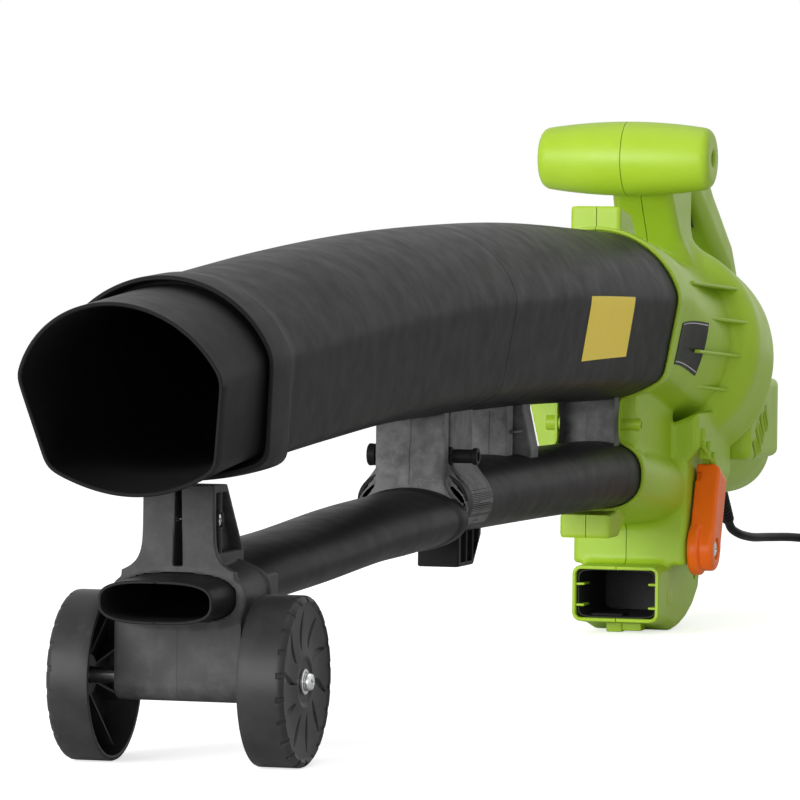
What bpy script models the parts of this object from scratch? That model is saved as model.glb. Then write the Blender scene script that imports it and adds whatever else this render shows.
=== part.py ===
"""Leaf blower vacuum on two wheels, as separate solids, in metres with +Z up.

+X is the side of the mode lever, +Y points to the rear (motor and cord) and the floor is z = 0.
Distances along the machine are written from the flange where the suction tube meets the housing,
and at() turns them into the row's frame.
"""
import math

import bmesh
import bpy
from mathutils import Matrix, Vector

# Frame and common clearances
FLANGE_Y = 0.290
GAP = 0.0003
TUBE_WALL = 0.0020
SHELL_WALL = 0.0026
# EXACT leaves open edges in the split shells, so their Booleans use the other solver
SHELL_SOLVER = "MANIFOLD"
WELD = 0.000005

# Suction tube: distance behind the flange, top, bottom, half width
SUCTION_STATIONS = (
    (0.000, 0.2705, 0.1597, 0.0570),
    (-0.250, 0.2736, 0.1612, 0.0550),
    (-0.415, 0.2702, 0.1602, 0.0550),
    (-0.560, 0.2657, 0.1555, 0.0550),
    (-0.700, 0.2582, 0.1472, 0.0552),
    (-0.838, 0.2463, 0.1385, 0.0555),
)
SIDE_CORNER_SHARE = 0.39
LOWER_CORNER_SHARE = 0.86
LOWER_WIDTH_SHARE = 0.825
ARC_STEPS = 6
SUCTION_JOINT = -0.415
SUCTION_SPIGOT = 0.018
COLLAR_STATIONS = (
    (-0.846, 0.2465, 0.1385, 0.0597),
    (-0.889, 0.2415, 0.1400, 0.0597),
    (-0.8895, 0.2350, 0.1430, 0.0530),
)
MOUTH_STATION = (-0.949, 0.2280, 0.1360, 0.0510)
MOUTH_SHEAR = 0.413

# Blower tube: distance behind the flange, centre height, half width, half height
BLOWER_STATIONS = (
    (0.030, 0.1110, 0.0360, 0.0228),
    (-0.200, 0.1113, 0.0350, 0.0220),
    (-0.311, 0.1110, 0.0330, 0.0210),
    (-0.437, 0.1012, 0.0325, 0.0196),
    (-0.560, 0.0990, 0.0322, 0.0195),
    (-0.670, 0.0928, 0.0315, 0.0193),
    (-0.767, 0.0889, 0.0310, 0.0185),
    (-0.840, 0.0840, 0.0305, 0.0140),
    (-0.862, 0.0828, 0.0300, 0.0118),
    (-0.897, 0.0825, 0.0297, 0.0107),
)
BLOWER_JOINT = -0.437
BLOWER_SPIGOT = 0.020
BLOWER_SIDES = 20

# Webs that tie the blower tube to the suction tube: front, rear, then half widths
HOUSING_WEB = (-0.017, -0.004, 0.0180)
FRONT_WEB = (-0.268, -0.221, 0.0110, 0.0200)
JOINT_WEB = (BLOWER_JOINT - 0.007, BLOWER_JOINT + 0.053, 0.0203)
WEB_HEIGHT = (0.105, 0.175)
TONGUE_REAR = BLOWER_JOINT + 0.035
TONGUE_HALF = 0.0080
TONGUE_HEIGHT = (0.128, 0.150)
JOINT_BOLT = (BLOWER_JOINT + 0.011, 0.139)
BOLT_RADIUS = 0.0025
BOLT_HEAD_RADIUS = 0.0060
JOINT_BOSS = (-0.0240, 0.0280)
JOINT_BOSS_RADIUS = 0.0040
BOLT_HOLE_HALF = 0.050

# Bracket under the joint that the collection bag hooks on
HOOK_BRACKET_HALF = 0.0125
HOOK_BRACKET_OUTLINE = ((-0.381, 0.071), (-0.381, 0.092), (-0.330, 0.095), (-0.330, 0.088), (-0.347, 0.071))

# Fan and motor axis
FAN_CENTRE = (0.195, 0.186)
FAN_TILT = 12.0
DRUM_RADIUS = 0.0790
DRUM_FRONT = -0.042
DRUM_BACK = 0.027
SHAFT_RADIUS = 0.0040
SHAFT_ENDS = (-0.036, 0.1285)
IMPELLER_RADIUS = 0.0700
IMPELLER_HUB = (-0.0200, 0.0160, 0.0120)
IMPELLER_PLATE = (0.0060, 0.0085)
IMPELLER_NUT = (-0.0270, -0.0203, 0.0075)
# Vanes: count, inner radius, two ends along the axis, sweep in radians, thickness
IMPELLER_VANES = (10, 0.0240, -0.0270, 0.0075, 0.75, 0.0022)
COOLING_VANES = (8, 0.0090, 0.0440, 0.0540, 0.30, 0.0015)
COOLING_HUB = (0.0400, 0.0560, 0.0100)
BLADE_STEPS = 3
STATOR_RADIUS = 0.0340
STATOR_BORE = 0.0220
ARMATURE_RADIUS = 0.0212
COMMUTATOR_RADIUS = 0.0100
COMMUTATOR_ENDS = (0.1040, 0.1180)
BRUSH_MIDDLE = 0.1110
BRUSH_HALF = (0.0030, 0.0029)
BRUSH_END = 0.0270
HOLDER_WALL = 0.0016
HOLDER_ENDS = (0.0140, 0.0290)
BEARING_RADIUS = 0.0110
CUP_WALL = 0.0020
COOLING_FAN_RADIUS = 0.0290
CUP_END = 0.1000
STATOR_FRONT = 0.0620
BEARING_BACK = 0.0350
BRIDGE_REAR = 0.1300

# Motor hood: distance behind the flange, centre height, half width, half height
HOOD_STATIONS = (
    (0.204, 0.1830, 0.0660, 0.0660),
    (0.222, 0.1800, 0.0660, 0.0660),
    (0.260, 0.1680, 0.0620, 0.0620),
    (0.300, 0.1520, 0.0570, 0.0580),
    (0.335, 0.1380, 0.0500, 0.0520),
    (0.365, 0.1280, 0.0420, 0.0430),
    (0.382, 0.1220, 0.0260, 0.0270),
    (0.388, 0.1200, 0.0120, 0.0120),
)
LOUVRES = ((0.268, 0.142), (0.2535, 0.136), (0.2420, 0.127), (0.2320, 0.118))
LOUVRE_LENGTH = 0.0260
LOUVRE_WIDTH = 0.0045
LOUVRE_LEAN = 45.0
LOUVRE_REACH = (0.040, 0.080)

# Front grip, column and rear handle
GRIP_CENTRE = (0.091, 0.320)
GRIP_PROFILE = ((0.0600, 0.0120), (0.0588, 0.0175), (0.0560, 0.0205), (0.0300, 0.0236))
GRIP_RADIUS = 0.0250
COLUMN_STATIONS = (
    (0.244, 0.160, 0.196, 0.0340),
    (0.252, 0.155, 0.195, 0.0300),
    (0.266, 0.150, 0.195, 0.0236),
    (0.293, 0.131, 0.199, 0.0212),
    (0.316, 0.112, 0.212, 0.0200),
)
HANDLE_HALF = 0.0190
HANDLE_BEVEL = 0.0080
HANDLE_OUTLINE = (
    (0.091, 0.303), (0.091, 0.338), (0.130, 0.3425), (0.172, 0.3425), (0.203, 0.339), (0.232, 0.326),
    (0.271, 0.301), (0.334, 0.266), (0.351, 0.247), (0.362, 0.224), (0.368, 0.200), (0.366, 0.160),
    (0.336, 0.160), (0.334, 0.212), (0.320, 0.243), (0.205, 0.300), (0.170, 0.303), (0.130, 0.301),
)
SLOPE_START = (0.205, 0.300)
SLOPE_END = (0.320, 0.243)

# Adaptor between the suction flange and the fan drum
ADAPTOR_END = (0.150, 0.195, 0.0595)
LIP = 0.0012
LIP_SPAN = (0.0005, 0.0055)
GUSSET_HEIGHTS = ((0.237, 0.0050), (0.2125, 0.0040), (0.189, 0.0040), (0.1665, 0.0040))
GUSSET_REACH = (0.055, 0.172)
GUSSET_THICKNESS = 0.0020

# Diverter box, blower socket, neck and bag outlet
BOX_SIDES = (-0.036, 0.042)
BOX_LENGTH = (0.098, 0.204)
BOX_HEIGHT = (0.046, 0.1385)
SOCKET_WALL = 0.0024
SOCKET_END = 0.104
NECK_HALF = 0.0280
NECK_SETBACK = 0.0022
NECK_REAR = 0.0950
NECK_HEIGHT = (0.1330, 0.1590)
NECK_SCREW = (0.0060, 0.1378)
NECK_BOSS = (-0.0327, 0.0315)
NECK_BOSS_RADIUS = 0.0042
OUTLET_HALF = 0.0295
OUTLET_OUTLINE = (
    (0.069, 0.0087), (0.069, 0.0463), (0.100, 0.0463), (0.110, 0.0600), (0.246, 0.1100), (0.250, 0.0600),
    (0.248, 0.0410), (0.235, 0.0200), (0.212, 0.0060), (0.192, 0.0000), (0.140, 0.0000), (0.095, 0.0060),
)
THROAT = (0.124, 0.196, 0.040, 0.060)
TAB = (0.095, 0.105, 0.0120)
TAB_TOP = 0.0120
TOP_HOOK = ((0.002, 0.268), (0.002, 0.287), (0.034, 0.282), (0.054, 0.264), (0.054, 0.255), (0.002, 0.255))
LOW_HOOK = ((-0.018, 0.0695), (-0.018, 0.0850), (0.000, 0.0868), (0.027, 0.0900), (0.027, 0.0810),
            (0.008, 0.0695))
HOOK_HALF = 0.0160

# Mode lever, shaft and flap
LEVER_AXIS = (0.113, 0.057)
LEVER_LEAN = 22.0
LEVER_LENGTH = 0.0640
LEVER_HALF = 0.0130
LEVER_CHAMFER = 0.0050
LEVER_HUB = (0.0510, 0.0160)
LEVER_BOSS = (0.0620, 0.0130)
LEVER_ARM_X = 0.0490
LEVER_SCREW = (0.0024, 0.0070, 0.0120)
FLAP_SHAFT_RADIUS = 0.0040
FLAP_COLLAR_RADIUS = 0.0074
FLAP_SIDE_GAP = 0.0012
FLAP_LENGTH = 0.0680
FLAP_THICKNESS = 0.0025
FLAP_REST = 8.0

# Trigger, in the handle's own slope frame: along the underside, then square to it
TRIGGER_PIVOT = (0.010, 0.008)
TRIGGER_OUTLINE = (
    (0.006, 0.004), (0.006, 0.012), (0.014, 0.013), (0.053, 0.0075), (0.053, -0.006), (0.044, -0.0105),
    (0.026, -0.0125), (0.012, -0.008),
)
TRIGGER_HALF = 0.0080
TRIGGER_PIN_RADIUS = 0.0015
SWITCH_BOX = (0.038, 0.060, 0.0150, 0.0272)
SWITCH_HALF = 0.0090

# Screw posts in the housing: name, distance behind the flange, height, seat of the head
SCREW_POSTS = (
    ("grip", GRIP_CENTRE[0], GRIP_CENTRE[1], 0.0500),
    ("column", 0.172, 0.322, 0.0120),
    ("rear", 0.345, 0.222, 0.0120),
    ("duct", 0.226, 0.050, 0.0220),
    ("neck", NECK_SCREW[0], NECK_SCREW[1], 0.0260),
)
POST_RADIUS = 0.0050
POST_SCREW_RADIUS = 0.0020
POST_HEAD_RADIUS = 0.0038
POST_REACH = 0.0700
POST_TIP = 0.0100

# Wheels and axle
AXLE = (-0.850, 0.0425)
AXLE_RADIUS = 0.0040
AXLE_HALF = 0.0632
WHEEL_RADIUS = 0.0425
WHEEL_INNER = 0.0395
WHEEL_OUTER = 0.0635
WHEEL_RIBS = 8
WHEEL_RIB_HALF = 0.0010
WHEEL_BOSS_RADIUS = 0.0105
WHEEL_LAND_RADIUS = 0.0120
WHEEL_RIM = 0.0045
WASHER_THICKNESS = 0.0015
WASHER_RADIUS = 0.0095
WASHER_HOLE = 0.0026
AXLE_SCREW = (0.0022, 0.0060, 0.0130)
AXLE_BORE = (0.0025, 0.0150)
SCREW_HEAD_HEIGHT = 0.0030

# Carrier
CARRIER_FRONT = -0.862
CARRIER_BACK = -0.838
CARRIER_BOTTOM = 0.0346
CARRIER_HALF = 0.0385
COLLAR_END = -0.794
COLLAR_WALL = 0.0032
COLLAR_GAP = 0.0006
RISER_HALF = 0.0185
RISER_TOP_DEPTH = 0.0220
RISER_DEPTH = 0.0500
RISER_WAIST = 0.1040
RISER_SLOT_HALF = 0.0019
RISER_SLOT = (0.0160, 0.0995)
POCKET_FLOOR = 0.0125
POCKET_EDGE = 0.0040
POCKET_BOTTOM = 0.1060
POCKET_BOSS_RADIUS = 0.0045
POCKET_RIB = (0.0125, 0.0145)
CARRIER_CORNER = 0.0080
CARRIER_SCREWS = ((-0.849, 0.121, RISER_HALF), (-0.846, 0.0600, CARRIER_HALF))
CARRIER_SCREW_RADIUS = 0.0020
CARRIER_SCREW_HEAD = 0.0036

# Mains cord
RELIEF_START = (0.372, 0.0920)
RELIEF_TIP = (0.425, 0.0610)
RELIEF_BORE = 0.0066
RELIEF_PROFILE = ((-0.0110, 0.0090), (-0.0090, 0.0090), (-0.0090, 0.0063), (0.0105, 0.0063), (0.0105, 0.0078),
                  (0.0140, 0.0078))
RELIEF_TIP_RADIUS = 0.0046
CORD_RADIUS = 0.0033
CORD_LEAD_OUT = 0.014
# Points after the lead out: sideways, behind the flange, height
CORD_ROUTE = ((0.004, 0.467, 0.0512), (0.010, 0.500, 0.0466), (0.025, 0.572, 0.0410), (0.050, 0.628, 0.0325),
              (0.094, 0.663, 0.0225), (0.144, 0.657, 0.0178), (0.168, 0.641, 0.0178))
CORD_POINTS = 26
PLUG_RADIUS = 0.0175
PLUG_LENGTH = 0.0420
PIN_RADIUS = 0.0024
PIN_LENGTH = 0.0190
PIN_SPACING = 0.0190
PIN_DEPTH = 0.0080
PLUG_PROFILE = ((0.0, 0.0055), (0.0100, 0.0070), (0.0160, 0.0130), (0.0260, 0.0150), (0.0330, 0.0172))

MATERIALS = {
    "green_plastic": ((0.33, 0.55, 0.05), 0.40, 0.0),
    "black_plastic": ((0.030, 0.030, 0.032), 0.45, 0.0),
    "orange_plastic": ((0.85, 0.18, 0.02), 0.40, 0.0),
    "inner_plastic": ((0.05, 0.05, 0.05), 0.55, 0.0),
    "black_rubber": ((0.020, 0.020, 0.020), 0.70, 0.0),
    "zinc_steel": ((0.62, 0.62, 0.60), 0.30, 1.0),
    "bare_steel": ((0.45, 0.45, 0.46), 0.35, 1.0),
    "laminated_steel": ((0.25, 0.25, 0.27), 0.45, 1.0),
    "copper": ((0.80, 0.38, 0.18), 0.35, 1.0),
    "carbon": ((0.04, 0.04, 0.04), 0.80, 0.0),
    "brass": ((0.75, 0.56, 0.22), 0.30, 1.0),
}


def at(distance):
    """World Y of a distance behind the suction flange."""
    return FLANGE_Y + distance


def clear_scene():
    for thing in list(bpy.data.objects):
        bpy.data.objects.remove(thing)


def material(name):
    """The named Principled material, made on first use."""
    found = bpy.data.materials.get(name)
    if found:
        return found
    colour, roughness, metallic = MATERIALS[name]
    made = bpy.data.materials.new(name)
    made.use_nodes = True
    shader = made.node_tree.nodes["Principled BSDF"]
    shader.inputs["Base Color"].default_value = (*colour, 1.0)
    shader.inputs["Roughness"].default_value = roughness
    shader.inputs["Metallic"].default_value = metallic
    return made


def new_object(name, mesh, matrix=None):
    made = bpy.data.objects.new(name, mesh)
    bpy.context.scene.collection.objects.link(made)
    if matrix:
        made.matrix_world = matrix
    return made


def dress(thing, material_name, name=None):
    """Gives a finished solid its name, material and smooth shading."""
    if name:
        thing.name = name
        thing.data.name = name
    thing.data.materials.clear()
    thing.data.materials.append(material(material_name))
    thing.data.shade_smooth()
    thing.data.set_sharp_from_angle(angle=math.radians(32.0))
    return thing


def mesh_from(bm, name):
    bmesh.ops.recalc_face_normals(bm, faces=bm.faces)
    mesh = bpy.data.meshes.new(name)
    bm.to_mesh(mesh)
    bm.free()
    return mesh


def ring_loft(rings, name="volume", matrix=None, capped=True, bevel=0.0):
    """Skins rings of equal count, with end caps, or closed on itself round a bore."""
    bm = bmesh.new()
    loops = [[bm.verts.new(point) for point in ring] for ring in rings]
    pairs = list(zip(loops, loops[1:]))
    if not capped:
        pairs.append((loops[-1], loops[0]))
    for first, second in pairs:
        for i in range(len(first)):
            j = (i + 1) % len(first)
            bm.faces.new((first[i], first[j], second[j], second[i]))
    if capped:
        caps = [bm.faces.new(loops[0][::-1]), bm.faces.new(loops[-1])]
        if bevel > 0.0:
            edges = {edge for face in caps for edge in face.edges}
            bmesh.ops.bevel(bm, geom=list(edges), offset=bevel, segments=2, profile=0.5, affect="EDGES")
    return new_object(name, mesh_from(bm, name), matrix)


def combine(target, tools, operation, solver="EXACT"):
    """Applies one Boolean for each tool and removes the tools."""
    for tool in tools:
        step = target.modifiers.new(operation.title(), "BOOLEAN")
        step.operation = operation
        step.solver = solver
        step.object = tool
    bpy.context.view_layer.update()
    graph = bpy.context.evaluated_depsgraph_get()
    mesh = bpy.data.meshes.new_from_object(target.evaluated_get(graph))
    target.modifiers.clear()
    target.data = mesh
    bm = bmesh.new()
    bm.from_mesh(mesh)
    bmesh.ops.remove_doubles(bm, verts=bm.verts, dist=WELD)
    bmesh.ops.dissolve_degenerate(bm, edges=bm.edges, dist=WELD)
    bm.to_mesh(mesh)
    bm.free()
    for tool in tools:
        bpy.data.objects.remove(tool)
    return target


def union(things, solver="EXACT"):
    return combine(things[0], things[1:], "UNION", solver)


def cut(target, *tools, solver="EXACT"):
    return combine(target, list(tools), "DIFFERENCE", solver)


def box(low, high, name="volume", matrix=None):
    corners = ((0, 0), (1, 0), (1, 1), (0, 1))
    ends = (low, high)
    rings = [[(ends[i][0], ends[j][1], ends[k][2]) for i, j in corners] for k in (0, 1)]
    return ring_loft(rings, name, matrix)


def prism(outline, x_low, x_high, name="volume", bevel=0.0, matrix=None):
    """Extrudes a side outline of (y, z) points between two x planes."""
    rings = [[(x, y, z) for y, z in outline] for x in (x_low, x_high)]
    return ring_loft(rings, name, matrix, bevel=bevel)


def housing_outline(outline):
    return [(at(y), z) for y, z in outline]


def circle(radius, count):
    angles = [2.0 * math.pi * i / count for i in range(count)]
    return [(radius * math.cos(angle), radius * math.sin(angle)) for angle in angles]


def turned(profile, name="volume", matrix=None, count=32, capped=True):
    """Turns (distance, radius) points about local Z."""
    rings = [[(x, y, s) for x, y in circle(radius, count)] for s, radius in profile]
    return ring_loft(rings, name, matrix, capped)


def along_x(y, z):
    """Local Z becomes world +X, through the point (y, z)."""
    return Matrix.Translation((0.0, y, z)) @ Matrix.Rotation(math.radians(90.0), 4, "Y")


def rod_x(radius, x_low, x_high, y, z, name="volume", count=12):
    return turned(((x_low, radius), (x_high, radius)), name, along_x(y, z), count)


def sleeve(outer, inner, low, high, name="volume", matrix=None, count=32):
    profile = ((low, outer), (high, outer), (high, inner), (low, inner))
    return turned(profile, name, matrix, count, capped=False)


def split(shell, name, material_name):
    """Parts a shell at the middle plane into a left and a right half."""
    for label, low, high in (("left", -0.30, -0.5 * GAP), ("right", 0.5 * GAP, 0.30)):
        half = new_object(f"{name}_{label}", shell.data.copy(), shell.matrix_world)
        half.data.transform(half.matrix_world)
        half.matrix_world = Matrix.Identity(4)
        side = box((low, at(-2.0), -0.5), (high, at(2.0), 1.0))
        dress(combine(half, [side], "INTERSECT", SHELL_SOLVER), material_name, f"{name}_{label}")
    bpy.data.objects.remove(shell)


def inset(outline, distance):
    """Moves each edge of a closed outline inward by the distance."""
    points = [Vector(point) for point in outline]
    count = len(points)
    area = sum(points[i].cross(points[(i + 1) % count]) for i in range(count))
    side = 1.0 if area > 0.0 else -1.0
    moved = []
    for i, point in enumerate(points):
        before = (point - points[i - 1]).normalized()
        after = (points[(i + 1) % count] - point).normalized()
        normal_before = side * Vector((-before.y, before.x))
        normal_after = side * Vector((-after.y, after.x))
        share = 1.0 + normal_before.dot(normal_after)
        moved.append(tuple(point + (normal_before + normal_after) * (distance / share)))
    return moved


def between(stations, distance):
    """Linear reading of a station table at a distance behind the flange."""
    ordered = sorted(stations)
    if distance <= ordered[0][0]:
        return ordered[0][1:]
    for first, second in zip(ordered, ordered[1:]):
        if distance <= second[0]:
            share = (distance - first[0]) / (second[0] - first[0])
            return tuple(a + (b - a) * share for a, b in zip(first[1:], second[1:]))
    return ordered[-1][1:]


def stations_between(stations, start, end):
    """The distances start, end and every station between them, from rear to front."""
    inner = [row[0] for row in stations if end < row[0] < start]
    return [start] + sorted(inner, reverse=True) + [end]


def shield(distance, top, bottom, half, shear=0.0):
    """One ring of the suction section: round top, straight flanks, shallow bottom arc."""
    height = top - bottom
    rise = SIDE_CORNER_SHARE * height
    radius = (half * half + rise * rise) / (2.0 * rise)
    span = math.asin(min(1.0, half / radius))
    arc = [span * (1.0 - i / ARC_STEPS) for i in range(2 * ARC_STEPS + 1)]
    points = [(radius * math.sin(a), top - radius + radius * math.cos(a)) for a in arc]
    low_half = LOWER_WIDTH_SHARE * half
    corner = (-half, top - rise)
    low_corner = (-low_half, top - LOWER_CORNER_SHARE * height)
    flank = [tuple(0.5 * (a + b) for a, b in zip(corner, low_corner))]
    sag = (1.0 - LOWER_CORNER_SHARE) * height
    shares = [-1.0, -0.5, 0.0, 0.5, 1.0]
    floor = [(low_half * share, bottom + sag * share * share) for share in shares]
    points += flank + floor + [(-x, z) for x, z in reversed(flank)]
    middle = 0.5 * (top + bottom)
    return [(x, at(distance) - shear * (z - middle), z) for x, z in points]


def suction_ring(distance, offset=0.0):
    top, bottom, half = between(SUCTION_STATIONS, distance)
    return shield(distance, top + offset, bottom - offset, half + offset)


def oval(distance, centre, half, height, count=BLOWER_SIDES):
    """One upright superellipse ring, a little squarer than an ellipse."""
    points = []
    for x, z in circle(1.0, count):
        squared = (abs(x) ** 2.3 + abs(z) ** 2.3) ** (-1.0 / 2.3)
        points.append((half * x * squared, at(distance), centre + height * z * squared))
    return points


def blower_ring(distance, offset=0.0):
    centre, half, height = between(BLOWER_STATIONS, distance)
    return oval(distance, centre, half + offset, height + offset)


def suction_volume(start, end, offset):
    """A plug along the suction tube, grown or shrunk by the offset."""
    return ring_loft([suction_ring(y, offset) for y in stations_between(SUCTION_STATIONS, start, end)])


def blower_volume(start, end, offset):
    return ring_loft([blower_ring(y, offset) for y in stations_between(BLOWER_STATIONS, start, end)])


def make_suction_upper():
    body = stations_between(SUCTION_STATIONS, -GAP, SUCTION_JOINT + GAP)
    step = -(SHELL_WALL + GAP)
    rings = [suction_ring(SUCTION_SPIGOT, step), suction_ring(-GAP, step)]
    rings += [suction_ring(y) for y in body]
    rings += [suction_ring(y, -TUBE_WALL) for y in reversed(body[1:])]
    rings += [suction_ring(-0.004, step - TUBE_WALL), suction_ring(SUCTION_SPIGOT, step - TUBE_WALL)]
    return dress(ring_loft(rings, capped=False), "black_plastic", "suction_tube_upper")


def collar_ring(station, offset, shear=0.0):
    distance, top, bottom, half = station
    return shield(distance, top + offset, bottom - offset, half + offset, shear)


def make_suction_lower():
    body = stations_between(SUCTION_STATIONS, SUCTION_JOINT, SUCTION_STATIONS[-1][0])
    step = -(TUBE_WALL + GAP)
    spigot_end = SUCTION_JOINT + SUCTION_SPIGOT
    rings = [suction_ring(spigot_end, step), suction_ring(SUCTION_JOINT, step)]
    rings += [suction_ring(y) for y in body]
    rings += [collar_ring(station, 0.0) for station in COLLAR_STATIONS]
    rings.append(collar_ring(MOUTH_STATION, 0.0, MOUTH_SHEAR))
    rings.append(collar_ring(MOUTH_STATION, -TUBE_WALL, MOUTH_SHEAR))
    rings.append(collar_ring(COLLAR_STATIONS[2], -TUBE_WALL))
    rings += [suction_ring(y, step - TUBE_WALL) for y in reversed(body[1:])]
    rings += [suction_ring(SUCTION_JOINT, step - TUBE_WALL), suction_ring(spigot_end, step - TUBE_WALL)]
    return dress(ring_loft(rings, capped=False), "black_plastic", "suction_tube_lower")


def web_block(rear, front, half, rear_half=None):
    """A block between the two tubes, later trimmed by both."""
    wide = rear_half or half
    outline = ((-wide, at(rear)), (wide, at(rear)), (half, at(front)), (-half, at(front)))
    return ring_loft([[(x, y, z) for x, y in outline] for z in WEB_HEIGHT])


def make_blower_upper():
    rear = BLOWER_STATIONS[0][0]
    front = BLOWER_JOINT + GAP
    body = stations_between(BLOWER_STATIONS, rear, front)
    tube = ring_loft([blower_ring(y) for y in body])
    housing_web = web_block(HOUSING_WEB[1], HOUSING_WEB[0], HOUSING_WEB[2])
    front_web = web_block(FRONT_WEB[1], FRONT_WEB[0], FRONT_WEB[2], rear_half=FRONT_WEB[3])
    joint_web = web_block(JOINT_WEB[1], front, JOINT_WEB[2])
    bolt_y, bolt_z = at(JOINT_BOLT[0]), JOINT_BOLT[1]
    boss = rod_x(JOINT_BOSS_RADIUS, *JOINT_BOSS, bolt_y, bolt_z)
    hook = prism(housing_outline(HOOK_BRACKET_OUTLINE), -HOOK_BRACKET_HALF, HOOK_BRACKET_HALF)
    solid = union([tube, housing_web, front_web, joint_web, boss, hook])
    bore = blower_volume(rear + 0.001, BLOWER_JOINT - 0.001, -TUBE_WALL)
    over = suction_volume(SUCTION_SPIGOT, BLOWER_JOINT - 0.020, GAP)
    slot_half = TONGUE_HALF + GAP
    slot = box((-slot_half, at(BLOWER_JOINT) - 0.002, TONGUE_HEIGHT[0] - GAP),
               (slot_half, at(TONGUE_REAR) + GAP, TONGUE_HEIGHT[1] + GAP))
    hole = rod_x(BOLT_RADIUS + GAP, -BOLT_HOLE_HALF, BOLT_HOLE_HALF, bolt_y, bolt_z)
    return dress(cut(solid, bore, over, slot, hole), "black_plastic", "blower_tube_upper")


def make_blower_lower():
    tip = BLOWER_STATIONS[-1][0]
    rear = BLOWER_JOINT + BLOWER_SPIGOT
    inner = -TUBE_WALL - GAP
    spigot = ring_loft([blower_ring(rear, inner), blower_ring(BLOWER_JOINT - 0.003, inner)])
    body = stations_between(BLOWER_STATIONS, BLOWER_JOINT, tip)
    tube = ring_loft([blower_ring(y) for y in body])
    web = web_block(BLOWER_JOINT, JOINT_WEB[0], JOINT_WEB[2])
    tongue = box((-TONGUE_HALF, at(JOINT_WEB[0]) + 0.002, TONGUE_HEIGHT[0]),
                 (TONGUE_HALF, at(TONGUE_REAR), TONGUE_HEIGHT[1]))
    solid = union([tube, spigot, web, tongue])
    bore = [blower_ring(y, inner - TUBE_WALL) for y in (rear + 0.001, BLOWER_JOINT)]
    bore += [blower_ring(y, -TUBE_WALL) for y in body[1:-1]]
    bore += [blower_ring(tip, -0.6 * TUBE_WALL), blower_ring(tip - 0.001, -0.6 * TUBE_WALL)]
    over = suction_volume(BLOWER_JOINT + 0.050, JOINT_WEB[0] - 0.020, GAP)
    hole = rod_x(BOLT_RADIUS + GAP, -BOLT_HOLE_HALF, BOLT_HOLE_HALF, at(JOINT_BOLT[0]), JOINT_BOLT[1])
    return dress(cut(solid, ring_loft(bore), over, hole), "black_plastic", "blower_tube_lower")


def screw(name, radius, head_radius, head_x, tip_x, y, z, material_name="zinc_steel"):
    """A pan head screw along X; the head lies beyond head_x, away from the tip."""
    side = 1.0 if head_x > tip_x else -1.0
    top = head_x + side * SCREW_HEAD_HEIGHT
    profile = ((tip_x, radius), (head_x, radius), (head_x, head_radius),
               (top - side * 0.001, head_radius), (top, 0.7 * head_radius))
    return dress(turned(profile, matrix=along_x(y, z), count=12), material_name, name)


def make_joint_bolt():
    return screw("joint_bolt", BOLT_RADIUS, BOLT_HEAD_RADIUS, JOINT_BOSS[1] + GAP, JOINT_BOSS[0] - 0.001,
                 at(JOINT_BOLT[0]), JOINT_BOLT[1])


def fan_frame():
    """Local Z runs rearward along the fan and motor axis."""
    place = Matrix.Translation((0.0, at(FAN_CENTRE[0]), FAN_CENTRE[1]))
    return place @ Matrix.Rotation(math.radians(-90.0 - FAN_TILT), 4, "X")


def fan_piece(profile, name, material_name, count=32, capped=True):
    return dress(turned(profile, matrix=fan_frame(), count=count, capped=capped), material_name, name)


def adaptor_rings(offset, start, end):
    """Blends the shield section into the drum's round inlet."""
    base = suction_ring(0.0, offset)
    top, bottom, half = between(SUCTION_STATIONS, 0.0)
    middle = 0.5 * (top + bottom)
    length, centre, radius = ADAPTOR_END
    hold = SUCTION_SPIGOT + 0.002
    steps = [start] + [hold + (length - hold) * i / 5.0 for i in range(6)] + [end]
    rings = []
    for distance in steps:
        share = min(1.0, max(0.0, (distance - hold) / (length - hold)))
        share = share * share * (3.0 - 2.0 * share)
        ring = []
        for x, _, z in base:
            angle = math.atan2(z - middle, x)
            round_x = (radius + offset) * math.cos(angle)
            round_z = centre + (radius + offset) * math.sin(angle)
            ring.append((x + (round_x - x) * share, at(distance), z + (round_z - z) * share))
        rings.append(ring)
    return rings


def adaptor_volume(offset):
    if offset < 0.0:
        return ring_loft(adaptor_rings(offset, -0.001, 0.166))
    return ring_loft(adaptor_rings(offset, 0.0, 0.164))


def drum_volume(offset):
    radius = DRUM_RADIUS + offset
    front = DRUM_FRONT - offset
    back = DRUM_BACK + offset
    profile = ((front, radius - 0.020), (front + 0.003, radius - 0.010), (front + 0.011, radius - 0.003),
               (front + 0.022, radius), (back - 0.012, radius), (back - 0.004, radius - 0.002),
               (back, radius - 0.006))
    return turned(profile, matrix=fan_frame(), count=32)


def hood_volume(offset):
    rings = []
    for distance, centre, half, height in HOOD_STATIONS:
        if distance == HOOD_STATIONS[-1][0]:
            distance += offset
        rings.append(oval(distance, centre, half + offset, height + offset, 28))
    return ring_loft(rings)


def grip_volume(offset):
    ends = [(x + offset, r + offset) for x, r in GRIP_PROFILE]
    profile = [(-x, r) for x, r in ends] + [(0.0, GRIP_RADIUS + offset)] + ends[::-1]
    return turned(profile, matrix=along_x(at(GRIP_CENTRE[0]), GRIP_CENTRE[1]), count=20)


def rounded_rectangle(half, front, rear, radius, z, steps=2):
    corners = ((half - radius, rear - radius, 0.0), (-half + radius, rear - radius, 90.0),
               (-half + radius, front + radius, 180.0), (half - radius, front + radius, 270.0))
    ring = []
    for x, y, start in corners:
        for i in range(steps + 1):
            angle = math.radians(start + 90.0 * i / steps)
            ring.append((x + radius * math.cos(angle), at(y + radius * math.sin(angle)), z))
    return ring


def column_volume(offset):
    rings = []
    for z, front, rear, half in COLUMN_STATIONS:
        rings.append(rounded_rectangle(half + offset, front - offset, rear + offset, 0.0080 + offset, z))
    return ring_loft(rings)


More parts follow.
